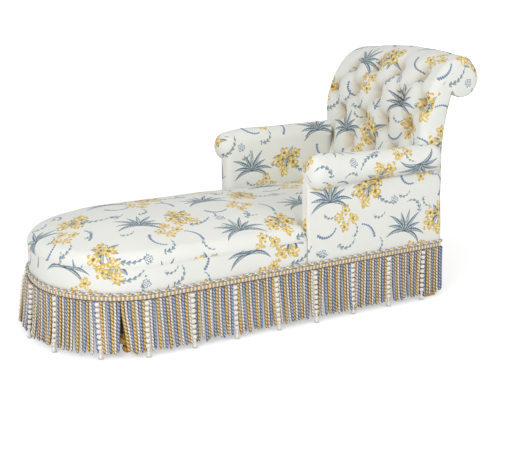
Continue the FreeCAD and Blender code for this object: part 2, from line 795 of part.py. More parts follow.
back_shell = back_outer.cut(back_inside)
foot_zone = box(-half_width, half_width, y_arm, y_rear + scroll_reach, 0, back_foot_height)
front_shell = back_outer.cut(pits).cut(back_inside.cut(deep_pits))
back_cover = front_shell.cut(foot_zone).cut(rear_zone)
save("back_cover", back_cover)
outside_back = back_shell.common(rear_zone)
save("outside_back_panel", outside_back)
back_pad = back_form(cover_thickness + clearance)
hollow = box(-post_inner, post_inner, y_post_front, y_rear + throat_reach, 0, middle_rail_bottom)
back_pad = back_pad.cut([foot_zone, hollow, back_post, mirrored(back_post), top_rail, middle_rail])
back_pad = back_pad.cut(back_webs + deep_pits)
save("back_stuffing", back_pad)

# Fringe
braid_top = header_bottom + braid_height
header_top = braid_top + cord_diameter
cord_path = fringe_wire(clearance + cord_diameter / 2, header_top - cord_diameter / 2)
section = Part.Wire(Part.makeCircle(cord_diameter / 2, cord_path.Vertexes[0].Point, V(0, 1, 0)))
save("fringe_cord", cord_path.makePipeShell([section], True, False))
save("fringe_braid", band(clearance, clearance + braid_thickness, header_bottom, braid_top))
rope_line = rope_standoff + rope_radius
slots = tassel_count * (ropes_per_tassel + 1)
slot = fringe_length(rope_line) / slots
ropes = {"blue": [], "cream": [], "gold": []}
tassels = []
for number in range(slots):
    place = fringe_point((number + 0.5) * slot, rope_line)
    turn = number % (ropes_per_tassel + 1)
    if turn == ropes_per_tassel // 2:
        strand = Part.makeCylinder(tassel_radius, header_bottom - tuft_top, place + V(0, 0, tuft_top))
        tuft = Part.makeCone(tuft_radius, tassel_radius, tuft_top - tuft_bottom,
                             place + V(0, 0, tuft_bottom))
        tassels.append(strand.fuse(tuft))
    else:
        order = turn if turn < ropes_per_tassel // 2 else turn - 1
        colour = ("blue", "cream", "gold")[order % 3]
        radius = cream_rope_radius if colour == "cream" else rope_radius
        height = header_bottom - rope_bottom
        ropes[colour].append(Part.makeCylinder(radius, height, place + V(0, 0, rope_bottom)))
for colour, group in ropes.items():
    save("fringe_ropes_" + colour, group)
save("fringe_tassels", tassels)
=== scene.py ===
# Fainting couch with a round foot end, two rolled arms, a deep-buttoned scroll back and a
# bullion fringe, in metres. Its frame, legs, castors and springs are the CAD's own solids.
# Its covers, buttons and fringe are made here, in the order in which they go on.
import math
import random

import bmesh
import bpy
import numpy as np
from mathutils import Matrix, Vector, noise


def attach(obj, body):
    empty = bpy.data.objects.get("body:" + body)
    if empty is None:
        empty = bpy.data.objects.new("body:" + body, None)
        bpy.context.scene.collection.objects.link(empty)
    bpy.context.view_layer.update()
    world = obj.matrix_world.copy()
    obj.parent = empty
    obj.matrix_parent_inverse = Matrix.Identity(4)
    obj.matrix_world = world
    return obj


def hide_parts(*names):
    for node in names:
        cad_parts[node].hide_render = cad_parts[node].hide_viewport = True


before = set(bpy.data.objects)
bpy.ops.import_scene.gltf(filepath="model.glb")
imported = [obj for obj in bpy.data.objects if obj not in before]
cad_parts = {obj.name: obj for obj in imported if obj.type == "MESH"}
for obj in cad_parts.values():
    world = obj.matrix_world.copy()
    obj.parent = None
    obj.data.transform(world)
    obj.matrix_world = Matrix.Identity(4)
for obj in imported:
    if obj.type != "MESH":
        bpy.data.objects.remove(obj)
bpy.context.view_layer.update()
bpy.ops.object.select_all(action="DESELECT")

# The studio: a camera at the photograph's angle, a white sweep of floor, and soft
# lamps above and to the right of the camera. None of it belongs to the couch.
bpy.context.scene.view_settings.view_transform = "Standard"
eye = bpy.data.cameras.new("eye")
eye.lens = 71.605
eye.sensor_width = 36.0
camera = bpy.data.objects.new("eye", eye)
bpy.context.scene.collection.objects.link(camera)
sight_right = Vector((0.49060834, 0.87135507, -0.006618))
sight_up = Vector((-0.2258654, 0.13449935, 0.96482887))
sight_ahead = Vector((-0.84159865, 0.47185831, -0.26279546))
turn = Matrix((sight_right, sight_up, -sight_ahead)).transposed()
camera.matrix_world = Matrix.Translation((3.3784, -1.84674, 1.3547)) @ turn.to_4x4()
bpy.context.scene.camera = camera


def linear(code):
    """An sRGB hex colour as the linear colour that a shader takes."""
    parts = [int(code[i:i + 2], 16) / 255 for i in (1, 3, 5)]
    return tuple(c / 12.92 if c <= 0.04045 else ((c + 0.055) / 1.055) ** 2.4 for c in parts) + (1.0,)


def add(tree, kind, inputs=None, stops=(), **settings):
    """Adds a node with its settings, and sets or links the inputs that are named or numbered.

    The stops are a ramp's places and colours, first its two ends and then those between."""
    made = tree.nodes.new("ShaderNode" + kind)
    for name, value in settings.items():
        setattr(made, name, value)
    for number, (position, code) in enumerate(stops):
        marks = made.color_ramp.elements
        mark = marks[number] if number < 2 else marks.new(position)
        mark.position = position
        mark.color = linear(code)
    for key, value in (inputs or {}).items():
        if isinstance(value, bpy.types.NodeSocket):
            tree.links.new(value, made.inputs[key])
        else:
            made.inputs[key].default_value = value
    return made


def new_finish(name, colour, roughness, metallic=0.0, sheen=0.0, specular=0.5):
    """A material with a plain shader, its colour given as hex; returns it, its nodes and the shader."""
    finish = bpy.data.materials.new(name)
    finish.use_nodes = True
    shader = finish.node_tree.nodes["Principled BSDF"]
    shader.inputs["Base Color"].default_value = linear(colour)
    shader.inputs["Roughness"].default_value = roughness
    shader.inputs["Metallic"].default_value = metallic
    shader.inputs["Sheen Weight"].default_value = sheen
    shader.inputs["Specular IOR Level"].default_value = specular
    return finish, finish.node_tree, shader


# Seamless paper: matt and pale, lifted to white only for what the camera sees directly.
paper, tree, shader = new_finish("seamless_paper", "#E6E6E6", 0.9)
sight = add(tree, "LightPath")
seen = add(tree, "Math", {0: sight.outputs["Is Camera Ray"], 1: sight.outputs["Is Glossy Ray"]},
           operation="MAXIMUM")
place = add(tree, "VectorMath", {0: add(tree, "TexCoord").outputs["Object"]}, operation="LENGTH")
lift = add(tree, "MapRange", {0: place.outputs[1], 1: 1.2, 2: 5.0, 3: 0.5, 4: 0.95})
glow = add(tree, "Math", {0: seen.outputs[0], 1: lift.outputs[0]}, operation="MULTIPLY")
shader.inputs["Emission Color"].default_value = (1, 1, 1, 1)
tree.links.new(glow.outputs[0], shader.inputs["Emission Strength"])
bpy.ops.mesh.primitive_plane_add(size=60.0, location=(0, 0, 0))
floor = bpy.context.object
floor.name = "floor"
floor.data.materials.append(paper)

world = bpy.data.worlds.new("studio")
bpy.context.scene.world = world
world.use_nodes = True
tree = world.node_tree
sight = add(tree, "LightPath")
seen = add(tree, "Math", {0: sight.outputs["Is Camera Ray"], 1: sight.outputs["Is Glossy Ray"]},
           operation="MAXIMUM")
seen = add(tree, "Math", {0: seen.outputs[0], 1: sight.outputs["Is Transmission Ray"]},
           operation="MAXIMUM")
backdrop = add(tree, "Math", {0: seen.outputs[0], 1: 0.5, 2: 0.5}, operation="MULTIPLY_ADD")
tree.nodes["Background"].inputs["Color"].default_value = (1, 1, 1, 1)
tree.links.new(backdrop.outputs[0], tree.nodes["Background"].inputs["Strength"])

for name, place, size, power in (
    ("key", (2.5, -3.0, 2.5), 2.4, 84.0),
    ("fill", (3.6, 1.6, 1.9), 2.4, 30.0),
    ("top", (-0.8, 0.0, 3.6), 2.6, 6.0),
):
    lamp = bpy.data.lights.new(name, "AREA")
    lamp.shape = "DISK"
    lamp.size = size
    lamp.energy = power
    holder = bpy.data.objects.new(name, lamp)
    holder.location = place
    holder.rotation_euler = (Vector((0, 0, 0.4)) - Vector(place)).to_track_quat("-Z", "Y").to_euler()
    bpy.context.scene.collection.objects.link(holder)


def dress(finish, *nodes):
    """Gives a finish to CAD nodes."""
    for name in nodes:
        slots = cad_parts[name].data.materials
        slots.clear()
        slots.append(finish)


# Frame: sawn beech rails, posts and blocks, doweled and glued. Only their lower edges
# ever show, from underneath, as pale wood with fine darker flecks along the grain.
def sawn_beech(name, stretch):
    """Beech with its grain along one axis: short flecks 2 mm wide, rings some 20 mm apart."""
    finish, tree, shader = new_finish(name, "#C9A173", 0.7)
    place = add(tree, "TexCoord").outputs["Object"]
    along = add(tree, "Mapping", {"Vector": place, "Scale": stretch})
    flecks = add(tree, "TexNoise", {"Vector": along.outputs[0], "Scale": 1.0, "Detail": 4.0})
    rings = add(tree, "TexWave", {"Vector": along.outputs[0], "Scale": 0.05, "Distortion": 6.0})
    both = add(tree, "Math", {0: rings.outputs["Fac"], 1: 0.4, 2: flecks.outputs["Fac"]},
               operation="MULTIPLY_ADD")
    ramp = add(tree, "ValToRGB", {0: both.outputs[0]}, stops=((0.35, "#B5875A"), (0.85, "#D6B48A")))
    tree.links.new(ramp.outputs[0], shader.inputs["Base Color"])
    bump = add(tree, "Bump", {"Strength": 0.3, "Distance": 0.0004, "Height": both.outputs[0]})
    tree.links.new(bump.outputs[0], shader.inputs["Normal"])
    return finish


dress(sawn_beech("sawn_beech_lengthwise", (500, 25, 500)), "seat_rail_left", "seat_rail_right",
      "foot_rail", "arm_board_left", "arm_board_right", "rail_dowels")
dress(sawn_beech("sawn_beech_crosswise", (25, 500, 500)), "rear_seat_rail", "seat_cross_rail",
      "back_top_rail", "back_middle_rail", "back_lower_rail")
dress(sawn_beech("sawn_beech_upright", (500, 500, 25)), "leg_block_left", "leg_block_right",
      "corner_blocks", "back_post_left", "back_post_right", "arm_post_left", "arm_post_right")

# Front legs: beech turned on a lathe and polished dark brown. They stand just inside the
# fringe and show between its ropes as a warm dark shape with soft highlights.
finish, tree, shader = new_finish("polished_dark_beech", "#6B4429", 0.32)
place = add(tree, "TexCoord").outputs["Object"]
along = add(tree, "Mapping", {"Vector": place, "Scale": (420, 420, 22)})
flecks = add(tree, "TexNoise", {"Vector": along.outputs[0], "Scale": 1.0, "Detail": 5.0})
ramp = add(tree, "ValToRGB", {0: flecks.outputs["Fac"]}, stops=((0.3, "#4A2C19"), (0.75, "#7C5233")))
tree.links.new(ramp.outputs[0], shader.inputs["Base Color"])
shader.inputs["Coat Weight"].default_value = 0.4
shader.inputs["Coat Roughness"].default_value = 0.15
dress(finish, "front_leg_left", "front_leg_right")

# Castors: cast brass cup and fork, a turned brass wheel on a steel pin. The brass is
# dulled brown in its hollows and brighter where it rubs.
finish, tree, shader = new_finish("aged_cast_brass", "#B08A45", 0.34, metallic=1.0)
place = add(tree, "TexCoord").outputs["Object"]
tarnish = add(tree, "TexNoise", {"Vector": place, "Scale": 90.0, "Detail": 4.0})
ramp = add(tree, "ValToRGB", {0: tarnish.outputs["Fac"]}, stops=((0.35, "#6E5126"), (0.62, "#C29B52")))
tree.links.new(ramp.outputs[0], shader.inputs["Base Color"])
rough = add(tree, "MapRange", {0: tarnish.outputs["Fac"], 3: 0.5, 4: 0.26})
tree.links.new(rough.outputs[0], shader.inputs["Roughness"])
for side in ("left", "right"):
    dress(finish, "castor_cup_" + side, "castor_fork_" + side, "castor_wheel_" + side)
finish, tree, shader = new_finish("drawn_steel", "#8C8C8A", 0.3, metallic=1.0)
place = add(tree, "TexCoord").outputs["Object"]
lines = add(tree, "TexNoise", {"Vector": place, "Scale": 700.0})
bump = add(tree, "Bump", {"Strength": 0.2, "Distance": 0.0001, "Height": lines.outputs["Fac"]})
tree.links.new(bump.outputs[0], shader.inputs["Normal"])
dress(finish, "castor_axle_left", "castor_axle_right", "seat_springs")

# Suspension: jute webbing tacked across the rails, hourglass springs lashed on it, and
# stiff canvas over them. A black cambric dust cover closes the underside.
weave_phase = 2100.0  # a thread each 3 mm
for name, warm, dark, nodes in (
    ("woven_jute", "#B5935F", "#8A6B3F", ("seat_webbing", "back_webbing")),
    ("stiff_canvas", "#CDBF9F", "#AD9E7D", ("seat_canvas",)),
    ("black_cambric", "#1F1F21", "#131314", ("dust_cover",)),
):
    finish, tree, shader = new_finish(name, warm, 0.9, sheen=0.1)
    place = add(tree, "TexCoord").outputs["Object"]
    split = add(tree, "SeparateXYZ", {0: place})
    over = add(tree, "Math", {0: split.outputs[0], 1: weave_phase}, operation="MULTIPLY")
    over = add(tree, "Math", {0: over.outputs[0]}, operation="SINE")
    under = add(tree, "Math", {0: split.outputs[1], 1: weave_phase}, operation="MULTIPLY")
    under = add(tree, "Math", {0: under.outputs[0]}, operation="SINE")
    weave = add(tree, "Math", {0: over.outputs[0], 1: under.outputs[0]}, operation="MULTIPLY")
    share = add(tree, "MapRange", {0: weave.outputs[0], 1: -1.0, 2: 1.0})
    mix = add(tree, "MixRGB", {0: share.outputs[0], 1: linear(dark), 2: linear(warm)})
    tree.links.new(mix.outputs[0], shader.inputs["Base Color"])
    bump = add(tree, "Bump", {"Strength": 0.4, "Distance": 0.0006, "Height": share.outputs[0]})
    tree.links.new(bump.outputs[0], shader.inputs["Normal"])
    dress(finish, *nodes)

# Cover cloth: an ivory cotton and linen print of fern sprays, blossoms and berry stalks,
# plain woven and softly washed, so it is matt with a faint sheen. The print repeats over
# 340 by 300 mm with a half drop, and each motif is drawn a little differently each time.
repeat = (0.34, 0.30)
twig_cell = (0.12, 0.14)
thread_phase = 4488.0
slate = "#6A86A9"
deep_slate = "#4B6688"
sage = "#A9B7A3"
yellow = "#DFBB4B"
ochre = "#BC9033"
print_cloth, tree, shader = new_finish("washed_print_cloth", "#EEEFEA", 0.78, sheen=0.12, specular=0.3)
cloth_place = add(tree, "SeparateXYZ", {0: add(tree, "UVMap", uv_map="cloth").outputs[0]})


def motif_place(shift, jitter, turn, size, tilt, cell):
    """Where the cloth is in one motif's own frame, turned and scaled to 1 at its reach, and a chance."""
    across = add(tree, "Math", {0: cloth_place.outputs[0], 1: 1 / cell[0], 2: shift[0]},
                 operation="MULTIPLY_ADD").outputs[0]
    column = add(tree, "Math", {0: across}, operation="FLOOR").outputs[0]
    up = add(tree, "Math", {0: cloth_place.outputs[1], 1: 1 / cell[1], 2: shift[1]},
             operation="MULTIPLY_ADD").outputs[0]
    up = add(tree, "Math", {0: column, 1: 0.5, 2: up}, operation="MULTIPLY_ADD").outputs[0]
    row = add(tree, "Math", {0: up}, operation="FLOOR").outputs[0]
    cell_name = add(tree, "CombineXYZ", {0: column, 1: row, 2: shift[0] * 7 + shift[1] * 3}).outputs[0]
    chance = add(tree, "TexWhiteNoise", {"Vector": cell_name}, noise_dimensions="3D").outputs["Color"]
    inside = add(tree, "CombineXYZ", {
        0: add(tree, "Math", {0: across}, operation="FRACT").outputs[0],
        1: add(tree, "Math", {0: up}, operation="FRACT").outputs[0]}).outputs[0]
    inside = add(tree, "VectorMath", {0: inside, 1: (0.5, 0.5, 0)}, operation="SUBTRACT").outputs[0]
    inside = add(tree, "VectorMath", {0: inside, 1: (cell[0] / size, cell[1] / size, 1)},
                 operation="MULTIPLY").outputs[0]
    moved = add(tree, "VectorMath", {0: chance, 1: (jitter / size,) * 3, 2: (-jitter / size / 2,) * 3},
                operation="MULTIPLY_ADD").outputs[0]
    inside = add(tree, "VectorMath", {0: inside, 1: moved}, operation="SUBTRACT").outputs[0]
    flat = add(tree, "VectorMath", {0: inside, 1: (1, 1, 0)}, operation="MULTIPLY").outputs[0]
    draw = add(tree, "SeparateXYZ", {0: chance}).outputs[2]
    angle = add(tree, "Math", {0: draw, 1: turn, 2: tilt - turn / 2}, operation="MULTIPLY_ADD").outputs[0]
    turned = add(tree, "VectorRotate", {"Vector": flat, "Angle": angle}, rotation_type="Z_AXIS")
    return turned.outputs[0], draw


def fern_spray(place, pitch, reach, width, bend):
    """Arching leaves that fan from one point: blue along the outer half, speckled sage within."""
    x, y = add(tree, "SeparateXYZ", {0: place}).outputs[0:2]
    far = add(tree, "VectorMath", {0: place}, operation="LENGTH").outputs[1]
    heading = add(tree, "Math", {0: x, 1: y}, operation="ARCTAN2").outputs[0]
    arch = add(tree, "Math", {0: far, 1: bend, 2: 1.0}, operation="MULTIPLY_ADD").outputs[0]
    fan = add(tree, "Math", {0: heading, 1: arch}, operation="DIVIDE").outputs[0]
    leaf = add(tree, "Math", {0: fan, 1: 1 / pitch}, operation="MULTIPLY").outputs[0]
    number = add(tree, "Math", {0: leaf}, operation="ROUND").outputs[0]
    number = add(tree, "Math", {0: number, 1: reach}, operation="MINIMUM").outputs[0]
    number = add(tree, "Math", {0: number, 1: -reach}, operation="MAXIMUM").outputs[0]
    off = add(tree, "Math", {0: leaf, 1: number}, operation="SUBTRACT").outputs[0]
    spread = add(tree, "Math", {0: far, 1: arch}, operation="MULTIPLY").outputs[0]
    off = add(tree, "Math", {0: off, 1: spread}, operation="MULTIPLY").outputs[0]
    off = add(tree, "Math", {0: off, 1: pitch}, operation="MULTIPLY").outputs[0]
    vary = add(tree, "Math", {0: number, 1: 2.3}, operation="MULTIPLY").outputs[0]
    vary = add(tree, "Math", {0: vary}, operation="SINE").outputs[0]
    length = add(tree, "Math", {0: vary, 1: 0.12, 2: 0.88}, operation="MULTIPLY_ADD").outputs[0]
    run = add(tree, "Math", {0: far, 1: length}, operation="DIVIDE", use_clamp=True).outputs[0]
    shape = add(tree, "Math", {0: run, 1: 0.9}, operation="POWER").outputs[0]
    shape = add(tree, "Math", {0: shape, 1: math.pi}, operation="MULTIPLY").outputs[0]
    shape = add(tree, "Math", {0: shape}, operation="SINE").outputs[0]
    teeth = add(tree, "Math", {0: run, 1: 11.0}, operation="MULTIPLY").outputs[0]
    teeth = add(tree, "Math", {0: teeth, 1: 0.5}, operation="PINGPONG").outputs[0]
    teeth = add(tree, "Math", {0: teeth, 1: -0.7, 2: 1.1}, operation="MULTIPLY_ADD").outputs[0]
    edge = add(tree, "Math", {0: shape, 1: teeth}, operation="MULTIPLY").outputs[0]
    edge = add(tree, "Math", {0: edge, 1: width}, operation="MULTIPLY").outputs[0]
    wide = add(tree, "Math", {0: off}, operation="ABSOLUTE").outputs[0]
    mask = add(tree, "Math", {0: wide, 1: edge}, operation="LESS_THAN").outputs[0]
    side = add(tree, "Math", {0: heading}, operation="SIGN").outputs[0]
    upper = add(tree, "Math", {0: off, 1: side}, operation="MULTIPLY").outputs[0]
    upper = add(tree, "Math", {0: upper, 1: -0.004}, operation="LESS_THAN").outputs[0]
    rim = add(tree, "Math", {0: edge, 1: -0.022}, operation="ADD").outputs[0]
    rim = add(tree, "Math", {0: wide, 1: rim}, operation="GREATER_THAN").outputs[0]
    solid = add(tree, "Math", {0: upper, 1: rim}, operation="MAXIMUM").outputs[0]
    specks = add(tree, "TexVoronoi", {"Vector": place, "Scale": 17.0}, voronoi_dimensions="2D")
    specks = add(tree, "Math", {0: specks.outputs["Distance"], 1: 0.32}, operation="LESS_THAN").outputs[0]
    within = add(tree, "MixRGB", {0: specks, 1: linear(sage), 2: linear("#E2E0CC")}).outputs[0]
    depth = add(tree, "MixRGB", {0: run, 1: linear(deep_slate), 2: linear(slate)}).outputs[0]
    return mask, add(tree, "MixRGB", {0: solid, 1: within, 2: depth}).outputs[0]


def blossoms(place, spread, bloom):
    """A cluster of five-petalled yellow flowers with ochre hearts, each wholly in or out."""
    cells = add(tree, "TexVoronoi", {"Vector": place, "Scale": 1 / spread, "Randomness": 0.55},
                voronoi_dimensions="2D")
    centre = cells.outputs["Position"]
    near = add(tree, "VectorMath", {0: place, 1: centre}, operation="SUBTRACT").outputs[0]
    x, y = add(tree, "SeparateXYZ", {0: near}).outputs[0:2]
    far = add(tree, "VectorMath", {0: near}, operation="LENGTH").outputs[1]
    chance = add(tree, "SeparateXYZ", {0: cells.outputs["Color"]}).outputs[0]
    heading = add(tree, "Math", {0: y, 1: x}, operation="ARCTAN2").outputs[0]
    petal = add(tree, "Math", {0: chance, 1: 3.0, 2: heading}, operation="MULTIPLY_ADD").outputs[0]
    petal = add(tree, "Math", {0: petal, 1: 2.5}, operation="MULTIPLY").outputs[0]
    petal = add(tree, "Math", {0: petal}, operation="SINE").outputs[0]
    petal = add(tree, "Math", {0: petal}, operation="ABSOLUTE").outputs[0]
    rim = add(tree, "Math", {0: petal, 1: 0.62 * bloom, 2: 0.5 * bloom}, operation="MULTIPLY_ADD").outputs[0]
    size = add(tree, "Math", {0: chance, 1: 0.35, 2: 0.8}, operation="MULTIPLY_ADD").outputs[0]
    rim = add(tree, "Math", {0: rim, 1: size}, operation="MULTIPLY").outputs[0]
    share = add(tree, "Math", {0: far, 1: rim}, operation="DIVIDE").outputs[0]
    flower = add(tree, "Math", {0: share, 1: 1.0}, operation="LESS_THAN").outputs[0]
    offset = add(tree, "VectorMath", {0: centre}, operation="LENGTH").outputs[1]
    kept = add(tree, "Math", {0: offset, 1: 0.82}, operation="LESS_THAN").outputs[0]
    mask = add(tree, "Math", {0: flower, 1: kept}, operation="MULTIPLY").outputs[0]
    ramp = add(tree, "ValToRGB", {0: share}, stops=(
        (0.0, "#8C6A2A"), (1.0, "#C0922E"), (0.16, "#8C6A2A"), (0.26, "#C99A34"), (0.42, "#F3E6A8"),
        (0.66, yellow), (0.88, "#DDB648")))
    blush = add(tree, "TexNoise", {"Vector": place, "Scale": 5.0, "Detail": 3.0}).outputs["Fac"]
    blush = add(tree, "MapRange", {0: blush, 1: 0.5, 2: 0.62}).outputs[0]
    petals = add(tree, "MixRGB", {0: blush, 1: ramp.outputs[0], 2: linear("#F6EFCF")}).outputs[0]
    vein = add(tree, "Math", {0: petal, 1: 0.17}, operation="LESS_THAN").outputs[0]
    vein = add(tree, "Math", {0: vein, 1: 0.75}, operation="MULTIPLY").outputs[0]
    return mask, add(tree, "MixRGB", {0: vein, 1: petals, 2: linear(ochre)}).outputs[0]


def along_stem(place, arc):
    """How far off a curved stem the cloth is, on which side and how near, and how far along it."""
    from_pivot = add(tree, "VectorMath", {0: place, 1: (arc, 0, 0)}, operation="ADD").outputs[0]
    x, y = add(tree, "SeparateXYZ", {0: from_pivot}).outputs[0:2]
    far = add(tree, "VectorMath", {0: from_pivot}, operation="LENGTH").outputs[1]
    off = add(tree, "Math", {0: far, 1: arc}, operation="SUBTRACT").outputs[0]
    wide = add(tree, "Math", {0: off}, operation="ABSOLUTE").outputs[0]
    heading = add(tree, "Math", {0: y, 1: x}, operation="ARCTAN2").outputs[0]
    return off, wide, add(tree, "Math", {0: heading, 1: arc}, operation="MULTIPLY").outputs[0]


def stem_mask(wide, edge, along, end):
    """Where the cloth is within a stem's edge and before its two ends."""
    inside = add(tree, "Math", {0: wide, 1: edge}, operation="LESS_THAN").outputs[0]
    reach = add(tree, "Math", {0: along}, operation="ABSOLUTE").outputs[0]
    ended = add(tree, "Math", {0: reach, 1: end}, operation="LESS_THAN").outputs[0]
    return add(tree, "Math", {0: inside, 1: ended}, operation="MULTIPLY").outputs[0]


def berry_stalk(place, arc):
    """A curved stalk with berries strung along it, dark between them, smaller at its tip."""
    _, wide, along = along_stem(place, arc)
    taper = add(tree, "MapRange", {0: along, 1: -1.0, 2: 1.0, 3: 0.14, 4: 0.06}).outputs[0]
    beads = add(tree, "Math", {0: along, 1: 17.0}, operation="MULTIPLY").outputs[0]
    beads = add(tree, "Math", {0: beads}, operation="SINE").outputs[0]
    beads = add(tree, "Math", {0: beads}, operation="ABSOLUTE").outputs[0]
    edge = add(tree, "Math", {0: beads, 1: 0.8}, operation="POWER").outputs[0]
    edge = add(tree, "Math", {0: taper, 1: edge}, operation="MULTIPLY").outputs[0]
    edge = add(tree, "Math", {0: edge, 1: 0.016}, operation="MAXIMUM").outputs[0]
    colour = add(tree, "MixRGB", {0: beads, 1: linear(deep_slate), 2: linear("#7C97B5")}).outputs[0]
    return stem_mask(wide, edge, along, 0.95), colour


def leafy_twig(place, arc, leaflets):
    """A thin curved stem with pointed leaflets on both sides, smaller at its tip."""
    off, wide, along = along_stem(place, arc)
    swept = add(tree, "Math", {0: wide, 1: -1.1, 2: along}, operation="MULTIPLY_ADD").outputs[0]
    stagger = add(tree, "Math", {0: off, 1: 0.0}, operation="GREATER_THAN").outputs[0]
    phase = add(tree, "Math", {0: stagger, 1: 0.06, 2: swept}, operation="MULTIPLY_ADD").outputs[0]
    phase = add(tree, "Math", {0: phase, 1: leaflets}, operation="MULTIPLY").outputs[0]
    lobe = add(tree, "Math", {0: phase}, operation="SINE").outputs[0]
    lobe = add(tree, "Math", {0: lobe}, operation="ABSOLUTE").outputs[0]
    lobe = add(tree, "Math", {0: lobe, 1: 1.6}, operation="POWER").outputs[0]
    taper = add(tree, "MapRange", {0: along, 1: -1.0, 2: 0.9, 3: 0.24, 4: 0.05}).outputs[0]
    edge = add(tree, "Math", {0: lobe, 1: taper}, operation="MULTIPLY").outputs[0]
    edge = add(tree, "Math", {0: edge, 1: 0.022}, operation="MAXIMUM").outputs[0]
    colour = add(tree, "MixRGB", {0: stagger, 1: linear("#7C92AC"), 2: linear("#9DAEA4")}).outputs[0]
    return stem_mask(wide, edge, along, 0.92), colour


def berry_bunch(place):
    """A rounded bunch of small slate berries, like a cone."""
    dots = add(tree, "TexVoronoi", {"Vector": place, "Scale": 3.4, "Randomness": 0.35},
               voronoi_dimensions="2D")
    dot = add(tree, "Math", {0: dots.outputs["Distance"], 1: 0.36}, operation="LESS_THAN").outputs[0]
    centre = add(tree, "VectorMath", {0: dots.outputs["Position"]}, operation="LENGTH").outputs[1]
    kept = add(tree, "Math", {0: centre, 1: 0.8}, operation="LESS_THAN").outputs[0]
    mask = add(tree, "Math", {0: dot, 1: kept}, operation="MULTIPLY").outputs[0]
    shade = add(tree, "Math", {0: dots.outputs["Distance"], 1: 2.8}, operation="MULTIPLY").outputs[0]
    return mask, add(tree, "MixRGB", {0: shade, 1: linear("#9DB0C4"), 2: linear(deep_slate)}).outputs[0]


cloth_flat = add(tree, "CombineXYZ", {0: cloth_place.outputs[0], 1: cloth_place.outputs[1]}).outputs[0]
washed = add(tree, "TexNoise", {"Vector": cloth_flat, "Scale": 9.0, "Detail": 3.0})
ink = add(tree, "MixRGB", {0: washed.outputs["Fac"], 1: linear("#EBECE5"), 2: linear("#F1F2ED")}).outputs[0]
# Each layer of the print lies over the one before: its motif with that motif's own measures,
# then its shift in the repeat, how far it strays, how much it turns, its reach, tilt and cell.
for motif, measures, shift, stray, swing, size, tilt, cell in (
    (leafy_twig, (0.9, 7.0), (0.23, 0.31), 0.05, 6.0, 0.036, 0.0, twig_cell),
    (leafy_twig, (1.4, 9.0), (0.30, 0.62), 0.03, 2.0, 0.060, 1.2, repeat),
    (berry_bunch, (), (0.14, 0.62), 0.03, 3.0, 0.022, 0.0, repeat),
    (berry_stalk, (0.9,), (0.02, 0.40), 0.03, 1.6, 0.054, 2.0, repeat),
    (leafy_twig, (0.8, 8.0), (0.79, 0.12), 0.03, 3.0, 0.050, 0.4, repeat),
    (berry_stalk, (1.3,), (0.47, 0.93), 0.03, 1.6, 0.050, -0.6, repeat),
    (fern_spray, (0.78, 3.0, 0.15, 0.3), (0.50, 0.40), 0.02, 1.4, 0.070, 0.3, repeat),
    (fern_spray, (0.325, 4.0, 0.074, 0.62), (0.0, 0.0), 0.02, 0.7, 0.106, 0.0, repeat),
    (blossoms, (0.62, 0.34), (0.52, 0.42), 0.02, 1.4, 0.078, 0.3, repeat),
    (blossoms, (0.76, 0.39), (0.76, 0.75), 0.04, 2.0, 0.054, 0.0, repeat),
):
    drawn, chance = motif_place(shift, stray, swing, size, tilt, cell)
    mask, colour = motif(drawn, *measures)
    if cell == twig_cell:
        some = add(tree, "Math", {0: chance, 1: 0.35}, operation="GREATER_THAN").outputs[0]
        mask = add(tree, "Math", {0: mask, 1: some}, operation="MULTIPLY").outputs[0]
    ink = add(tree, "MixRGB", {0: mask, 1: ink, 2: colour}).outputs[0]
# Painted shade: the cloth is darkened to a warm grey down in its creases and pleats, by a mark that the mesh
# carries.
crease_shade = add(tree, "Attribute", attribute_name="crease_shade").outputs["Fac"]
crease_shade = add(tree, "Math", {0: crease_shade, 1: 0.7}, operation="MULTIPLY").outputs[0]
ink = add(tree, "MixRGB", {0: crease_shade, 1: ink, 2: linear("#C2A468")}, blend_type="MULTIPLY").outputs[0]
tree.links.new(ink, shader.inputs["Base Color"])
# Threads lie 0.6 mm apart, drawn at 1.4 mm so that a near view shows them.
warp = add(tree, "Math", {0: cloth_place.outputs[0], 1: thread_phase}, operation="MULTIPLY")
warp = add(tree, "Math", {0: warp.outputs[0]}, operation="SINE")
weft = add(tree, "Math", {0: cloth_place.outputs[1], 1: thread_phase}, operation="MULTIPLY")
weft = add(tree, "Math", {0: weft.outputs[0]}, operation="SINE")
threads = add(tree, "Math", {0: warp.outputs[0], 1: weft.outputs[0]}, operation="MULTIPLY")
slubs = add(tree, "TexNoise", {"Vector": cloth_flat, "Scale": 260.0, "Detail": 2.0})
threads = add(tree, "Math", {0: slubs.outputs["Fac"], 1: 1.4, 2: threads.outputs[0]},
              operation="MULTIPLY_ADD")
bump = add(tree, "Bump", {"Strength": 0.25, "Distance": 0.0004, "Height": threads.outputs[0]})
tree.links.new(bump.outputs[0], shader.inputs["Normal"])


def new_cloth():
    """An empty list of points, faces and places on the cloth, and of how much painted crease shade each point
    takes.
    """
    return {"points": [], "faces": [], "places": [], "crease_shading": []}


def lay(cloth, points, places, crease_shading=None):
    """Adds a net of faces over rows of points, each with its place on the cloth in metres."""
    rows, columns = points.shape[:2]
    start = len(cloth["points"])
    cloth["points"].extend(map(tuple, points.reshape(-1, 3)))
    cloth["crease_shading"].extend(np.zeros(rows * columns) if crease_shading is None else crease_shading.ravel())
    flat = places.reshape(-1, 2)
    for i in range(rows - 1):
        for j in range(columns - 1):
            corner = i * columns + j
            ring = (corner, corner + 1, corner + columns + 1, corner + columns)
            cloth["faces"].append([start + k for k in ring])
            cloth["places"].extend(flat[k] for k in ring)


def cloth_grid(rows, columns):
    """Places on the cloth for a net, from one measure for each row and one for each column."""
    return np.dstack(np.broadcast_arrays(rows[:, None], columns[None, :]))


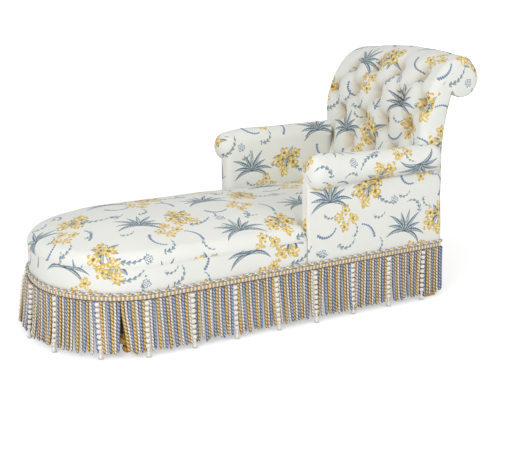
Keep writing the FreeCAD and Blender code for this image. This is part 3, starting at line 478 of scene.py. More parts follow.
def sew(name, cloth, finish, rumple=0.0, grain=0.09):
    """Joins the nets into one closed skin, softens it with low uneven swells and hangs it on the couch."""
    merge = 0.00002
    mesh = bpy.data.meshes.new(name)
    mesh.from_pydata(cloth["points"], [], cloth["faces"])
    layer = mesh.uv_layers.new(name="cloth")
    layer.data.foreach_set("uv", np.array(cloth["places"], np.float32).ravel())
    # The painted crease shade goes on the mesh as a point attribute.
    if any(cloth["crease_shading"]):
        marks = mesh.attributes.new("crease_shade", "FLOAT", "POINT")
        marks.data.foreach_set("value", np.array(cloth["crease_shading"], np.float32))
    work = bmesh.new()
    work.from_mesh(mesh)
    bmesh.ops.remove_doubles(work, verts=work.verts, dist=merge)
    bmesh.ops.dissolve_degenerate(work, dist=merge / 2, edges=work.edges)
    open_edges = [e for e in work.edges if e.is_boundary]
    if open_edges:
        bmesh.ops.holes_fill(work, edges=open_edges, sides=0)
    bmesh.ops.recalc_face_normals(work, faces=work.faces)
    if rumple:
        work.normal_update()
        for vertex in work.verts:
            swell = noise.noise(vertex.co / grain) + 0.4 * noise.noise(vertex.co / grain * 2.7)
            vertex.co += vertex.normal * (rumple * swell)
    work.to_mesh(mesh)
    work.free()
    mesh.polygons.foreach_set("use_smooth", [True] * len(mesh.polygons))
    mesh.materials.append(finish)
    piece = bpy.data.objects.new(name, mesh)
    bpy.context.scene.collection.objects.link(piece)
    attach(piece, "couch")
    return piece


def ease(value, low, high):
    """0 below low, 1 above high, and smooth between them."""
    share = np.clip((value - low) / (high - low), 0, 1)
    return share * share * (3 - 2 * share)


# Seat: curled hair over the springs, pulled down at a rounded spring edge and covered in
# the print. The top is one panel, sewn to an upright border above the fringe and tucked
# down beside the arms and the back, which pulls short creases into it there.
half_width = 0.342
foot_centre = -0.50635
arm_front = 0.07165
arm_inner = 0.284
crown_top = 0.415
border_top = 0.327
edge_round = 0.045
seam_height = 0.318
seam_in = 0.0011
border_foot = 0.205
border_swell = 0.0008
lining_in = 0.0023
seat_back = 0.571
back_tuck = 0.036
rail_top = 0.2885
canvas_top = 0.3485
canvas_reach = 0.3285
canvas_between = 0.2715
corner_puff = 0.0145
crease_x = 0.290
neck_steps = 30


def run_along(first, second):
    """The distance along a line at each of its points, from their two coordinates."""
    return np.concatenate([[0], np.cumsum(np.hypot(np.diff(first), np.diff(second)))])


rise = crown_top - border_top
run = half_width - edge_round
crown_radius = (rise ** 2 + run ** 2 - edge_round ** 2) / (2 * (rise - edge_round))
crown_tilt = math.asin(run / (crown_radius - edge_round))
neck_tilt = math.asin(arm_inner / crown_radius)
crown_angles = np.concatenate([np.linspace(0, neck_tilt, neck_steps),
                               np.linspace(neck_tilt, crown_tilt, 4)[1:]])
edge_angles = np.linspace(crown_tilt, math.pi / 2, 14)[1:]
top_reach = np.concatenate([crown_radius * np.sin(crown_angles), run + edge_round * np.sin(edge_angles),
                            [half_width - 0.0002, half_width - seam_in]])
top_height = np.concatenate([crown_top - crown_radius + crown_radius * np.cos(crown_angles),
                             border_top + edge_round * np.cos(edge_angles),
                             [seam_height + 0.002, seam_height]])
top_run = run_along(top_reach, top_height)
border_height = np.linspace(seam_height, border_foot, 16)
border_shares = np.linspace(0, 1, len(border_height))
border_reach = half_width - seam_in + border_swell * np.sin(np.pi * border_shares) ** 0.7
side_steps = np.linspace(arm_front, foot_centre, 66)
round_steps = np.linspace(0, math.pi, 122)[1:-1]
roots = np.array([(0, y) for y in side_steps] + [(0, foot_centre)] * len(round_steps)
                 + [(0, y) for y in side_steps[::-1]])
aims = np.array([(1, 0)] * len(side_steps) + [(math.cos(a), -math.sin(a)) for a in round_steps]
                + [(-1, 0)] * len(side_steps))
round_length = math.pi * half_width
around = np.concatenate([side_steps, foot_centre - half_width * round_steps,
                         2 * foot_centre - round_length - side_steps[::-1]])


def settle(points):
    """Puffs the foot's far corner, fills the crown and tucks the top down at the arms and the back."""
    x, y, z = points[..., 0], points[..., 1], points[..., 2]
    corner = np.clip(-x / half_width, 0, 1) * np.clip((foot_centre - y) / half_width, 0, 1)
    corner = (2 * corner) ** 1.5
    full = np.interp(x, [-half_width, -0.30, -0.05, 0.30], [0.016, 0.016, 0.013, 0.004])
    full = full * ease(z, 0.335, 0.40) * ease(y, -0.80, -0.50) * (1 - 0.5 * ease(y, -0.1, 0.15))
    upper = ease(z, 0.31, 0.35)
    at_arm = 0.013 * ease(np.abs(x), 0.268, 0.292) * np.clip((y - arm_front + 0.024) / 0.024, 0, 1) ** 2
    between = 0.03 * np.clip((np.abs(x) - 0.252) / 0.032, 0, 1) ** 2 * ease(y, arm_front, arm_front + 0.03)
    at_back = 0.03 * np.clip((y - seat_back + 0.035) / 0.035, 0, 1) ** 2
    away = np.hypot(np.abs(x) - crease_x, y - arm_front)
    bearing = np.arctan2(y - arm_front, np.abs(x) - crease_x)
    pull = 0.015 * np.exp(-away / 0.05) * (np.abs(np.sin(bearing * 3.5 + 0.4)) ** 0.6 - 0.75)
    pull = pull * ease(away, 0.004, 0.02)
    settled = points.copy()
    settled[..., 0] -= corner_puff * corner
    settled[..., 1] -= corner_puff * corner
    settled[..., 2] += full + upper * (pull - at_arm - between - at_back)
    return settled


def seat_crease_shade(points):
    """How much painted shade the seat's cloth takes in its creases, beside the arms and against the back."""
    x, y, z = np.abs(points[..., 0]), points[..., 1], points[..., 2]
    corner = 0.8 * np.exp(-np.hypot(x - crease_x, y - arm_front) / 0.022)
    beside = 0.6 * np.exp(-(0.286 - x) / 0.012) * ease(y, arm_front - 0.01, arm_front + 0.02)
    behind = 0.6 * np.exp(-(seat_back - y) / 0.016)
    return np.clip(np.maximum(np.maximum(corner, beside), behind), 0, 1) * ease(z, 0.30, 0.34)


def net(root, aim, reach, height):
    """Points at each reach and height, out from each root along its aim."""
    flat = root[:, None, :] + aim[:, None, :] * reach[None, :, None]
    return np.dstack([flat, np.broadcast_to(height, flat.shape[:2])])


seat = new_cloth()
points = net(roots, aims, top_reach, top_height)
flat = roots[:, None, :] + aims[:, None, :] * top_run[None, :, None]
lay(seat, settle(points), np.dstack([flat[..., 1], -flat[..., 0]]), seat_crease_shade(points))
points = net(roots, aims, border_reach, border_height)
lay(seat, settle(points), cloth_grid(around, border_height))
under_reach = np.array([half_width - seam_in, half_width - lining_in, half_width - lining_in,
                        canvas_reach, canvas_reach, canvas_between, 0.0])
under_height = np.array([border_foot, border_foot, rail_top, rail_top, canvas_top, canvas_top, canvas_top])
points = net(roots, aims, under_reach, under_height)
points[:, :3] = settle(points[:, :3])
lay(seat, points, points[..., :2])
# Between the arms the top runs on to the back, and its sides go down to the rails.
deep_steps = np.concatenate([np.linspace(arm_front, seat_back - back_tuck, 50),
                             np.linspace(seat_back - back_tuck, seat_back, 9)[1:]])
neck = top_reach[:neck_steps]
neck_height = top_height[:neck_steps]
neck_run = top_run[:neck_steps]
grid = (len(deep_steps), 2 * neck_steps - 1)
points = np.dstack([np.broadcast_to(np.concatenate([-neck[:0:-1], neck]), grid),
                    np.broadcast_to(deep_steps[:, None], grid),
                    np.broadcast_to(np.concatenate([neck_height[:0:-1], neck_height]), grid)])
neck_spans = np.concatenate([-neck_run[:0:-1], neck_run])
lay(seat, settle(points), cloth_grid(deep_steps, -neck_spans), seat_crease_shade(points))
wall_tops = [settle(np.array([[[arm_inner, y, neck_height[-1]]]]))[0, 0, 2] for y in deep_steps]
for side in (1, -1):
    rows = []
    for y, top in zip(deep_steps, wall_tops):
        wall = [(side * arm_inner, y, rail_top + (top - rail_top) * share) for share in np.linspace(1, 0, 5)]
        rows.append(wall + [(side * canvas_between, y, rail_top), (side * canvas_between, y, canvas_top),
                            (0, y, canvas_top)])
    points = np.array(rows)
    lay(seat, points, points[..., 1:3])
seat_pad = sew("seat_pad", seat, print_cloth, rumple=0.0016, grain=0.11)
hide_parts("seat_cover", "seat_stuffing")

# Back: hair and wadding over webbing, deep buttoned in a diamond and rolled over a bar
# into a scroll. Each button is pulled through to the webbing, and the slack between
# buttons is folded into pleats; the pleats above the top row run out over the scroll.
rear_line = 0.69265
back_top = 0.944
back_foot = 0.300
back_round = 0.024
scroll_radius = 0.074
scroll_y = rear_line + 0.094
scroll_z = back_top - scroll_radius
throat_reach = 0.062
throat_bow = 0.004
waist_in = 0.008
waist_low = 0.420
waist_high = 0.620
lean = math.radians(4.85)
join = math.radians(45)
arc_low = 0.280
arc_high = 0.148
front_middle = np.array([scroll_y, back_top]) - arc_high * np.array([math.cos(join), 1 - math.sin(join)])
front_start = front_middle - arc_low * np.array([math.cos(lean) - math.cos(join),
                                                 math.sin(join) - math.sin(lean)])
straight_run = (front_start[1] - back_foot) / math.cos(lean)
low_run = arc_low * (join - lean)
high_run = arc_high * (math.pi / 2 - join)
scroll_run = scroll_radius * math.pi / 2
front_run = straight_run + low_run + high_run


def front_line(s):
    """Place (y, z) and outward direction on the back, by the distance up from its foot and over."""
    if s <= straight_run:
        step = s - straight_run
        return front_start + step * np.array([math.sin(lean), math.cos(lean)]), lean
    if s <= straight_run + low_run:
        angle = lean + (s - straight_run) / arc_low
        return front_start + arc_low * np.array([math.cos(lean) - math.cos(angle),
                                                 math.sin(angle) - math.sin(lean)]), angle
    if s <= front_run:
        angle = join + (s - straight_run - low_run) / arc_high
        return front_middle + arc_high * np.array([math.cos(join) - math.cos(angle),
                                                   math.sin(angle) - math.sin(join)]), angle
    angle = math.pi / 2 + (s - front_run) / scroll_radius
    out = np.array([-math.cos(angle), math.sin(angle)])
    return np.array([scroll_y, scroll_z]) + scroll_radius * out, angle


def rear_rail(count, inset):
    """Points (y, z) up the outside back, by its waist and throat, and round to the scroll's tip."""
    throat = np.array([scroll_y - throat_reach,
                       scroll_z - math.sqrt(scroll_radius ** 2 - throat_reach ** 2)])
    waist = np.array([rear_line - waist_in, waist_high])
    bow = np.array([-throat_bow, 0.0])
    line = [np.array([rear_line, back_foot]), np.array([rear_line - waist_in, waist_low]), waist]
    line += [waist + (throat - waist) * t + bow * 4 * t * (1 - t) for t in np.linspace(0, 1, 9)[1:]]
    line = [p - np.array([inset, 0]) for p in line]
    start = math.atan2(throat[1] - scroll_z, throat[0] - scroll_y)
    for angle in np.linspace(start, 0, 24)[1:]:
        out = np.array([math.cos(angle), math.sin(angle)])
        line.append(np.array([scroll_y, scroll_z]) + scroll_radius * out)
    ys, zs = np.array(line).T
    measure = run_along(ys, zs)
    steps = np.linspace(0, measure[-1], count)
    return np.column_stack([np.interp(steps, measure, ys), np.interp(steps, measure, zs)]), steps


button_pitch = 0.152
first_row = 0.155
row_pitch = 0.111
edge_anchor = 0.300
pleat_width = 0.026
fullness = 0.030
pit_depth = 0.022
pit_width = 0.019
button_rows = []
for row in range(5):
    count = 4 - row % 2
    button_rows.append((first_row + row_pitch * row,
                        [button_pitch * (i - (count - 1) / 2) for i in range(count)]))
buttons = [(x, s) for s, places in button_rows for x in places]
short_rows = [s for s, places in button_rows if len(places) == 3]
anchors = buttons + [(side * edge_anchor, s) for s in short_rows for side in (1, -1)]
# Each pleat runs from one place to another and fades out by a share at each of its ends.
pleats = []
for x, s in anchors:
    for far_x, far_s in anchors:
        if abs(far_s - s - row_pitch) < 0.001 and abs(abs(far_x - x) - button_pitch / 2) < 0.012:
            pleats.append((x, s, far_x, far_s, 0.0, 0.0))
top_row, top_buttons = button_rows[-1]
for x in top_buttons:
    pleats.append((x, top_row, x * 1.02, top_row + 0.165, 0.0, 1.0))
for side in (1, -1):
    for s in short_rows:
        pleats.append((side * edge_anchor, s, side * 0.334, s + 0.012, 0.25, 1.0))


def tufting(x, s):
    """How far the buttoned front stands out, and how much painted shade it takes in its creases, at places
    across and up it.
    """
    rise_up = np.full(x.shape, 1.0)
    for x0, s0, x1, s1, fade0, fade1 in pleats:
        length = math.hypot(x1 - x0, s1 - s0)
        share = np.clip(((x - x0) * (x1 - x0) + (s - s0) * (s1 - s0)) / length ** 2, 0, 1)
        wave = 0.0045 * np.sin(share * 6 + x0 * 40 + s0 * 90)
        away = np.hypot(x - x0 - share * (x1 - x0) + wave, s - s0 - share * (s1 - s0))
        fade = fade0 + (fade1 - fade0) * share
        depth = (1 - fade) * (0.68 + 0.30 * np.cos(2 * math.pi * share))
        rise_up = np.minimum(rise_up, 1 - depth * np.exp(-(away / pleat_width) ** 0.9))
    stand = fullness * (rise_up - 0.62)
    for x0, s0 in anchors:
        away = np.hypot(x - x0, s - s0)
        deep = 1.0 if abs(x0) < 0.29 else 0.35
        stand -= deep * (pit_depth * np.exp(-(away / pit_width) ** 2) + 0.007 * np.exp(-away / 0.05))
        bearing = np.arctan2(s - s0, x - x0)
        gathers = np.cos(11 * bearing + x0 * 30) * np.exp(-(away - pleat_width) ** 2 / 0.00035)
        stand += deep * 0.0016 * gathers
    field = ease(0.345 - np.abs(x), 0.0, 0.03)
    return stand * field, np.clip(1.3 * (0.82 - rise_up), 0, 1) * field


turn_angles = np.linspace(0, math.pi / 2, 7)[1:]
flat_reach = half_width - back_round
flat_across = np.linspace(-flat_reach, flat_reach, 128)
side_across = flat_reach + back_round * np.sin(turn_angles)
side_in = back_round * (1 - np.cos(turn_angles))
side_span = flat_reach + back_round * turn_angles
columns = np.concatenate([-side_across[::-1], flat_across, side_across])
insets = np.concatenate([side_in[::-1], np.zeros(len(flat_across)), side_in])
spans = np.concatenate([-side_span[::-1], flat_across, side_span])
rail_count = 150
front_steps = np.linspace(0, front_run + scroll_run, rail_count)
front_places = [front_line(s) for s in front_steps]
front_yz = np.array([p for p, _ in front_places])
front_out = np.array([(-math.cos(a), math.sin(a)) for _, a in front_places])
rear_yz, rear_steps = rear_rail(rail_count, lining_in)
rear_slope = np.gradient(rear_yz, axis=0)
rear_slope /= np.linalg.norm(rear_slope, axis=1)[:, None]
rear_out = np.column_stack([rear_slope[:, 1], -rear_slope[:, 0]])
rear_round = ease(rear_steps, 0.56, 0.66)


def crowned(points):
    """Lifts the middle of the back's top and lowers its ends, as the stuffing does."""
    points = points.copy()
    share = (points[..., 0] / half_width) ** 2
    far_side = np.clip(-points[..., 0] / half_width, 0, 1)
    points[..., 2] += ease(points[..., 2], 0.66, 0.90) * (0.009 - 0.022 * share - 0.009 * far_side)
    points[..., 0] -= 0.010 * ease(-points[..., 0], 0.24, half_width) * ease(points[..., 2], 0.60, 0.74)
    return points


# The back is a little narrower beside the arms than above them.
side_step = 0.0028
step_height = 0.5167
back = new_cloth()
grid = (len(columns), rail_count)
# tufting also gives painted shade along the pleats' creases.
stand, pleat_shade = tufting(np.broadcast_to(spans[:, None], grid), np.broadcast_to(front_steps, grid))
stand = stand * ease(0.80 - front_steps, 0, 0.04)[None, :]
front_net = np.empty(grid + (3,))
front_net[..., 0] = columns[:, None]
front_net[..., 1:] = front_yz[None] + front_out[None] * (stand - insets[:, None])[..., None]
for side, edge in ((1, -1), (-1, 0)):
    front_net[edge, :, 0] -= side * side_step * ease(step_height - front_net[edge, :, 2], 0, 0.002)
lay(back, crowned(front_net), cloth_grid(spans, front_steps), pleat_shade)
rear_net = np.empty(grid + (3,))
rear_net[..., 0] = columns[:, None]
edge_in = insets[:, None] * (0.1 + 0.9 * rear_round)[None, :]
rear_net[..., 1:] = rear_yz[None] - rear_out[None] * edge_in[..., None]
rear_net[:, -1] = front_net[:, -1]
rear_net[:, 0, 0] = columns
rear_net[:, 0, 1] = rear_yz[0, 0]
rear_net[:, 0, 2] = back_foot
for edge in (-1, 0):
    below = rear_net[edge, :, 2] < step_height
    rear_net[edge, below, 0] = front_net[edge, 0, 0]
lay(back, crowned(rear_net), cloth_grid(spans, front_steps[-1] + rear_steps[-1] - rear_steps))
shares = np.linspace(0, 1, 10)
for side, edge in ((1, -1), (-1, 0)):
    rows = (front_net[edge][:, None, :] * (1 - shares)[None, :, None]
            + rear_net[edge][:, None, :] * shares[None, :, None])
    width = np.linalg.norm(front_net[edge] - rear_net[edge], axis=1)
    puff = 0.0035 * np.sin(math.pi * shares)[None, :] * np.clip(width / 0.12, 0, 1)[:, None]
    rows[..., 0] += side * puff * ease(rows[..., 2], 0.58, 0.66)
    lay(back, crowned(rows), np.dstack([side * rows[..., 1], rows[..., 2]]))
bottom = np.stack([front_net[:, 0], rear_net[:, 0]], axis=1)
lay(back, bottom, bottom[..., :2])
back_pad = sew("back_pad", back, print_cloth, rumple=0.0018, grain=0.055)
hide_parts("back_cover", "back_stuffing")

# Buttons: domed moulds covered in the same print and pulled down by twine until the
# cloth stands up round them, so that only their tops show.
button_profile = ((0.0098, -0.004), (0.0102, 0.0005), (0.0092, 0.0034), (0.0058, 0.0058), (0.0, 0.0068))
sideways = Vector((1, 0, 0))


def hoop(centre, across, up, radius, count):
    """Points round a circle, from across towards up, with the first one again at the end."""
    return [centre + across * (radius * math.cos(a)) + up * (radius * math.sin(a))
            for a in np.linspace(0, 2 * math.pi, count)]


caps = new_cloth()
for x, s in buttons:
    (y, z), angle = front_line(s)
    out = Vector((0, -math.cos(angle), math.sin(angle)))
    up = Vector((0, math.sin(angle), math.cos(angle)))
    seat_depth = float(tufting(np.array([x]), np.array([s]))[0][0]) - 0.001
    rings = [hoop(Vector((x, y, z)) + out * (seat_depth + lift), sideways, up, reach, 13)
             for reach, lift in button_profile]
    points = crowned(np.array(rings))
    lay(caps, points, points[..., [0, 2]])
back_buttons = sew("covered_buttons", caps, print_cloth)
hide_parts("back_buttons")

# Outside back: one plain panel of the print over a layer of wadding, slipped under the
# scroll and blind stitched down both rear corners.
panel_reach = half_width - 0.0015
panel_thickness = 0.0018


def bind_edges(cloth, face, lining):
    """Joins the two skins of a panel along its four edges."""
    for cut in (np.s_[0, :], np.s_[-1, :], np.s_[:, 0], np.s_[:, -1]):
        strip = np.stack([face[cut], lining[cut]])
        lay(cloth, crowned(strip), strip[..., [0, 2]])


outside = new_cloth()
line, steps = rear_rail(90, 0.0)
below_scroll = steps < 0.60
low = np.array([(rear_line, z) for z in np.linspace(border_foot, back_foot, 12)[:-1]])
line = np.vstack([low, line[below_scroll]])
steps = np.concatenate([low[:, 1] - back_foot, steps[below_scroll]])
wide = np.linspace(-panel_reach, panel_reach, 60)
back_wadding = 0.003 * np.cos(wide / panel_reach * math.pi / 2) ** 0.7
skins = []
for inset, wadding in ((0.0, back_wadding), (panel_thickness, 0 * back_wadding)):
    points = np.empty((len(wide), len(line), 3))
    points[..., 0] = wide[:, None]
    points[..., 1] = line[None, :, 0] - inset + wadding[:, None]
    points[..., 2] = line[None, :, 1]
    lay(outside, crowned(points), cloth_grid(-wide, steps))
    skins.append(points)
bind_edges(outside, *skins)
outside_back = sew("outside_back", outside, print_cloth, rumple=0.0007, grain=0.14)
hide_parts("outside_back_panel")

# Arms: a padded body with a fat roll along its top, covered in one length of the print
# that runs up the inner face, over the roll and back under it. The roll's front is a
# soft round nose gathered to its middle; its far end dies into the side of the back.
roll_x = 0.336
roll_z = 0.570
roll_radius = 0.054
roll_round = 0.050
roll_rear = 0.66665
tail_round = 0.042
outer_face = 0.3398
outer_round = 0.010
front_round = 0.026
body_rear = 0.562
roll_lap = math.radians(83.1)


def back_face(z):
    """Where the back's front surface is at a height, for what butts against it."""
    return np.interp(z, front_yz[:100, 1], front_yz[:100, 0])


# The body's face runs from its outer front corner round the inner one and on to the back,
# and its upper end leans into the roll.
outer_corner = np.linspace(0, math.pi / 2, 6)
inner_corner = np.linspace(0, math.pi / 2, 7)
face_x = np.concatenate([outer_face - outer_round * (1 - np.cos(outer_corner)),
                         [arm_inner + front_round + 0.0005],
                         arm_inner + front_round * (1 - np.sin(inner_corner)), np.full(60, arm_inner)])
face_y = np.concatenate([arm_front + outer_round * (1 - np.sin(outer_corner)), [arm_front],
                         arm_front + front_round * (1 - np.cos(inner_corner)),
                         np.linspace(arm_front + front_round, body_rear, 61)[1:]])
face_run = run_along(face_x, face_y)
heights = np.concatenate([np.linspace(rail_top, roll_z, 34), roll_z + np.linspace(0, 0.035, 9)[1:]])
above = np.clip(heights - roll_z, 0, 1)
swell = np.where(above > 0, roll_radius - np.sqrt(roll_radius ** 2 - above ** 2) + 0.04 * above, 0)
swell = swell - 0.00205 * ease(heights, 0.44, roll_z)
body = np.empty((len(face_x), len(heights), 3))
body[..., 0] = face_x[:, None] + np.where(face_x < 0.3, 1.0, 0.0)[:, None] * swell[None, :]
body[..., 1] = face_y[:, None]
body[..., 2] = heights[None, :]
body[-1, :, 1] = back_face(heights) - 0.001
# The roll's section starts under it, goes up its inner side and over, and ends at the outer lap.
angles = np.concatenate([np.linspace(math.pi * 1.5, roll_lap, 30),
                         np.linspace(roll_lap, -roll_lap, 26)[1:], [-math.pi / 2]])
over = (math.pi - angles) * roll_radius
nose = np.linspace(0, math.pi / 2, 9)
tail = nose[1:]
for name, side, roll_front, droop, fuller in (
    ("left", 1, 0.0655, 0.0, 0.013),
    ("right", -1, 0.048, 0.012, 0.004),
):
    arm = new_cloth()
    middle_y = np.linspace(roll_front + roll_round, roll_rear - tail_round, 76)[1:]
    ys = np.concatenate([roll_front - np.array([0.0006, 0.0005, 0.0003]),
                         roll_front + roll_round * (1 - np.cos(nose)), middle_y,
                         roll_rear - tail_round * (1 - np.sin(tail))])
    reaches = np.concatenate([[0.0, 0.001, 0.002], roll_radius - roll_round * (1 - np.sin(nose)),
                              np.full(len(middle_y), roll_radius),
                              roll_radius - tail_round * (1 - np.cos(tail))])
    tall = reaches + fuller * ease(0.34 - ys, 0, 0.24) * ease(reaches, 0.0, 0.05)
    points = np.empty((len(ys), len(angles), 3))
    points[..., 0] = roll_x + reaches[:, None] * np.cos(angles)[None, :]
    points[..., 2] = roll_z + tall[:, None] * np.sin(angles)[None, :]
    points[..., 2] -= (droop * ease(0.20 - ys, 0, 0.14))[:, None]
    at_back = np.minimum(ys[:, None], back_face(points[..., 2]))
    points[..., 1] = np.where(points[..., 0] < half_width + 0.0005, at_back, ys[:, None])
    lay(arm, points * (side, 1, 1), cloth_grid(-side * run_along(ys, reaches), roll_z + over))
    points = body * (side, 1, 1)
    lay(arm, points, cloth_grid(-side * face_run, heights))
    outer = points[-1].copy()
    outer[:, 0] = side * outer_face
    rear = np.stack([points[-1], outer])
    lay(arm, rear, rear[..., [0, 2]])
    out = np.stack([outer, points[0]])
    lay(arm, out, out[..., 1:3])
    arm_pad = sew("arm_pad_" + name, arm, print_cloth, rumple=0.0011, grain=0.08)
    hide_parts("arm_cover_" + name, "arm_stuffing_" + name)

# Outside arms: a plain panel each side over thin wadding, slipped under the roll, with
# its front edge blind stitched to the arm front and its foot under the fringe.
panel_height = 0.3105
climb = np.linspace(0, 1, 50)
heights = border_foot + panel_height * climb
ends = np.interp(heights, [back_foot, waist_low], [rear_line, rear_line - waist_in]) - 0.0003
shares = np.concatenate([np.linspace(0, 0.016, 8), np.linspace(0.016, 1, 74)[1:]])
swell = (np.sin(math.pi * shares) ** 0.4)[:, None] * (np.sin(math.pi * climb) ** 0.4)[None, :]
for name, side in (("left", 1), ("right", -1)):
    panel = new_cloth()
    skins = []
    for depth, wadding in ((half_width, 0.003), (half_width - 0.0019, 0.0)):
        points = np.empty((len(shares), len(heights), 3))
        points[..., 1] = arm_front + shares[:, None] * (ends[None, :] - arm_front)
        points[..., 2] = heights[None, :]
        inward = outer_round - np.clip(points[..., 1] - arm_front, 0, outer_round)
        rounding = outer_round - np.sqrt(outer_round ** 2 - inward ** 2)
        points[..., 0] = side * (depth - rounding + wadding * swell)
        lay(panel, points, np.dstack([side * points[..., 1], points[..., 2]]))
        skins.append(points)
    bind_edges(panel, *skins)
    outside_arm = sew("outside_arm_" + name, panel, print_cloth, rumple=0.0007, grain=0.12)
    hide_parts("outside_arm_panel_" + name)

# Header cord: three thick plies of gimped silk and cotton in gold, slate and ivory,
# twisted together and sewn through the cover along the braid's top edge, all round the couch.
corner_round = 0.0005
corner_x = half_width - corner_round
corner_y = rear_line - corner_round
side_run = corner_y - foot_centre
back_run = 2 * corner_x


def far_corner(out):
    """1 where the outline faces the foot's far corner, and 0 well away from it."""
    return max(0.0, 2 * out.x * out.y) ** 1.5 if out.x < 0 else 0.0


def skirt_line(distance, off):
    """Place and outward direction on a line round the body, by the distance from the left rear corner."""
    reach = half_width + off
    half_round = math.pi * reach
    bend_reach = corner_round + off
    bend = bend_reach * math.pi / 2
    if distance < side_run:
        return Vector((reach, corner_y - distance, 0)), Vector((1, 0, 0))
    distance -= side_run
    if distance < half_round:
        out = Vector((math.cos(distance / reach), -math.sin(distance / reach), 0))
        puff = corner_puff * far_corner(out)
        return Vector((-puff, foot_centre - puff, 0)) + out * reach, out
    distance -= half_round
    if distance < side_run:
        return Vector((-reach, foot_centre + distance, 0)), Vector((-1, 0, 0))
    distance -= side_run
    if distance < bend:
        out = Vector((-math.cos(distance / bend_reach), math.sin(distance / bend_reach), 0))
        return Vector((-corner_x, corner_y, 0)) + out * bend_reach, out
    distance -= bend
    if distance < back_run:
        return Vector((distance - corner_x, rear_line + off, 0)), Vector((0, 1, 0))
    angle = (distance - back_run) / bend_reach
    out = Vector((math.sin(angle), math.cos(angle), 0))
    return Vector((corner_x, corner_y, 0)) + out * bend_reach, out


def skirt_length(off):
    """Length of that line."""
    return 2 * side_run + math.pi * (half_width + off) + math.pi * (corner_round + off) + back_run


def yarn(name, main, dark, ply_highlight, pitch, depth, side_shade=0.8):
    """Two-ply yarn: plies that climb round the piece, with painted shade where they meet and a painted
    highlight along each, and painted shade on the sides where ropes touch.
    """
    finish, tree, shader = new_finish(name, main, 0.55, sheen=0.25, specular=0.4)
    split = add(tree, "SeparateXYZ", {0: add(tree, "UVMap", uv_map="cloth").outputs[0]})
    climb = add(tree, "Math", {0: split.outputs[0], 1: 2.0}, operation="MULTIPLY")
    phase = add(tree, "Math", {0: split.outputs[1], 1: 1 / pitch, 2: climb.outputs[0]},
                operation="MULTIPLY_ADD")
    wave = add(tree, "Math", {0: phase.outputs[0], 1: math.pi}, operation="MULTIPLY")
    wave = add(tree, "Math", {0: wave.outputs[0]}, operation="SINE")
    wave = add(tree, "Math", {0: wave.outputs[0]}, operation="ABSOLUTE")
    # Painted shade in the groove where the plies meet, the yarn's own colour between, and a painted highlight
    # along each ply's crest.
    ramp = add(tree, "ValToRGB", {0: wave.outputs[0]}, stops=((0.2, dark), (1.0, ply_highlight), (0.6, main)))
    # Painted shade on the sides and back of the piece, away from its outward face, where the ropes touch one
    # another.
    turned_away = add(tree, "Math", {0: split.outputs[0], 1: 0.5}, operation="PINGPONG")
    side_shade_share = add(tree, "MapRange", {0: turned_away.outputs[0], 1: 0.08, 2: 0.24, 3: 0.0, 4: side_shade})
    shaded = add(tree, "MixRGB", {0: side_shade_share.outputs[0], 1: ramp.outputs[0], 2: linear("#4A3A22")})
    tree.links.new(shaded.outputs[0], shader.inputs["Base Color"])
    threads = add(tree, "Math", {0: phase.outputs[0], 1: 38.0}, operation="MULTIPLY")
    threads = add(tree, "Math", {0: threads.outputs[0]}, operation="SINE")
    height = add(tree, "Math", {0: threads.outputs[0], 1: 0.05, 2: wave.outputs[0]}, operation="MULTIPLY_ADD")
    bump = add(tree, "Bump", {"Strength": 1.0, "Distance": depth, "Height": height.outputs[0]})
    tree.links.new(bump.outputs[0], shader.inputs["Normal"])
    return finish


# The real plies are finer. They are drawn 12 to 13 mm apart, so that the photograph's scale
# shows them.
cord_gold = yarn("gold_cord_ply", "#DDBB72", "#94733A", "#EED79C", 0.013, 0.0008, 0.25)
cord_slate = yarn("slate_cord_ply", "#94A6C9", "#5E7097", "#B4C2DC", 0.013, 0.0008, 0.25)
cord_cream = yarn("cream_cord_ply", "#F3EDE0", "#B9A98B", "#FCF8EF", 0.012, 0.0008, 0.25)
cord_off = 0.0063
cord_z = 0.2287
cord_pitch = 0.033
cord_steps = 1500
ply_reach = 0.0032
ply_radius = 0.0036
upward = Vector((0, 0, 1))
cord_length = skirt_length(cord_off)
cord_turns = round(cord_length / cord_pitch)
cord = new_cloth()
for ply in range(3):
    rings = []
    for i in range(cord_steps + 1):
        share = (i % cord_steps) / cord_steps
        centre, out = skirt_line(share * cord_length, cord_off)
        swing = 2 * math.pi * (share * cord_turns + ply / 3)
        centre += out * (ply_reach * math.cos(swing)) + upward * (cord_z + ply_reach * math.sin(swing))
        rings.append(hoop(centre, out, upward, ply_radius, 7))
    places = cloth_grid(np.linspace(0, cord_length, cord_steps + 1), np.linspace(0, 1, 7))
    lay(cord, np.array(rings), places[..., ::-1])
header_cord = sew("header_cord", cord, cord_gold)
for finish in (cord_slate, cord_cream):
    header_cord.data.materials.append(finish)
for face in header_cord.data.polygons:
    face.material_index = min(2, face.index * 3 // len(header_cord.data.polygons))
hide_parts("fringe_cord")

# Header braid: woven of the same yarns in gold and ivory blocks, a pair every 14.4 mm, with a
# thin slate line along each edge. Its face is ribbed, and it is sewn on under the cord.
finish, tree, shader = new_finish("woven_block_braid", "#D8C9A0", 0.6, sheen=0.2, specular=0.4)
split = add(tree, "SeparateXYZ", {0: add(tree, "UVMap", uv_map="cloth").outputs[0]})
pair = add(tree, "Math", {0: split.outputs[0]}, operation="FRACT")
half = add(tree, "Math", {0: pair.outputs[0], 1: 0.5}, operation="GREATER_THAN")
blocks = add(tree, "MixRGB", {0: half.outputs[0], 1: linear("#F8F4EA"), 2: linear("#D6AE5E")})
edge = add(tree, "Math", {0: pair.outputs[0], 1: 0.25}, operation="PINGPONG")
edge = add(tree, "Math", {0: edge.outputs[0], 1: 0.02}, operation="LESS_THAN")
blocks = add(tree, "MixRGB", {0: edge.outputs[0], 1: blocks.outputs[0], 2: linear("#B39357")})
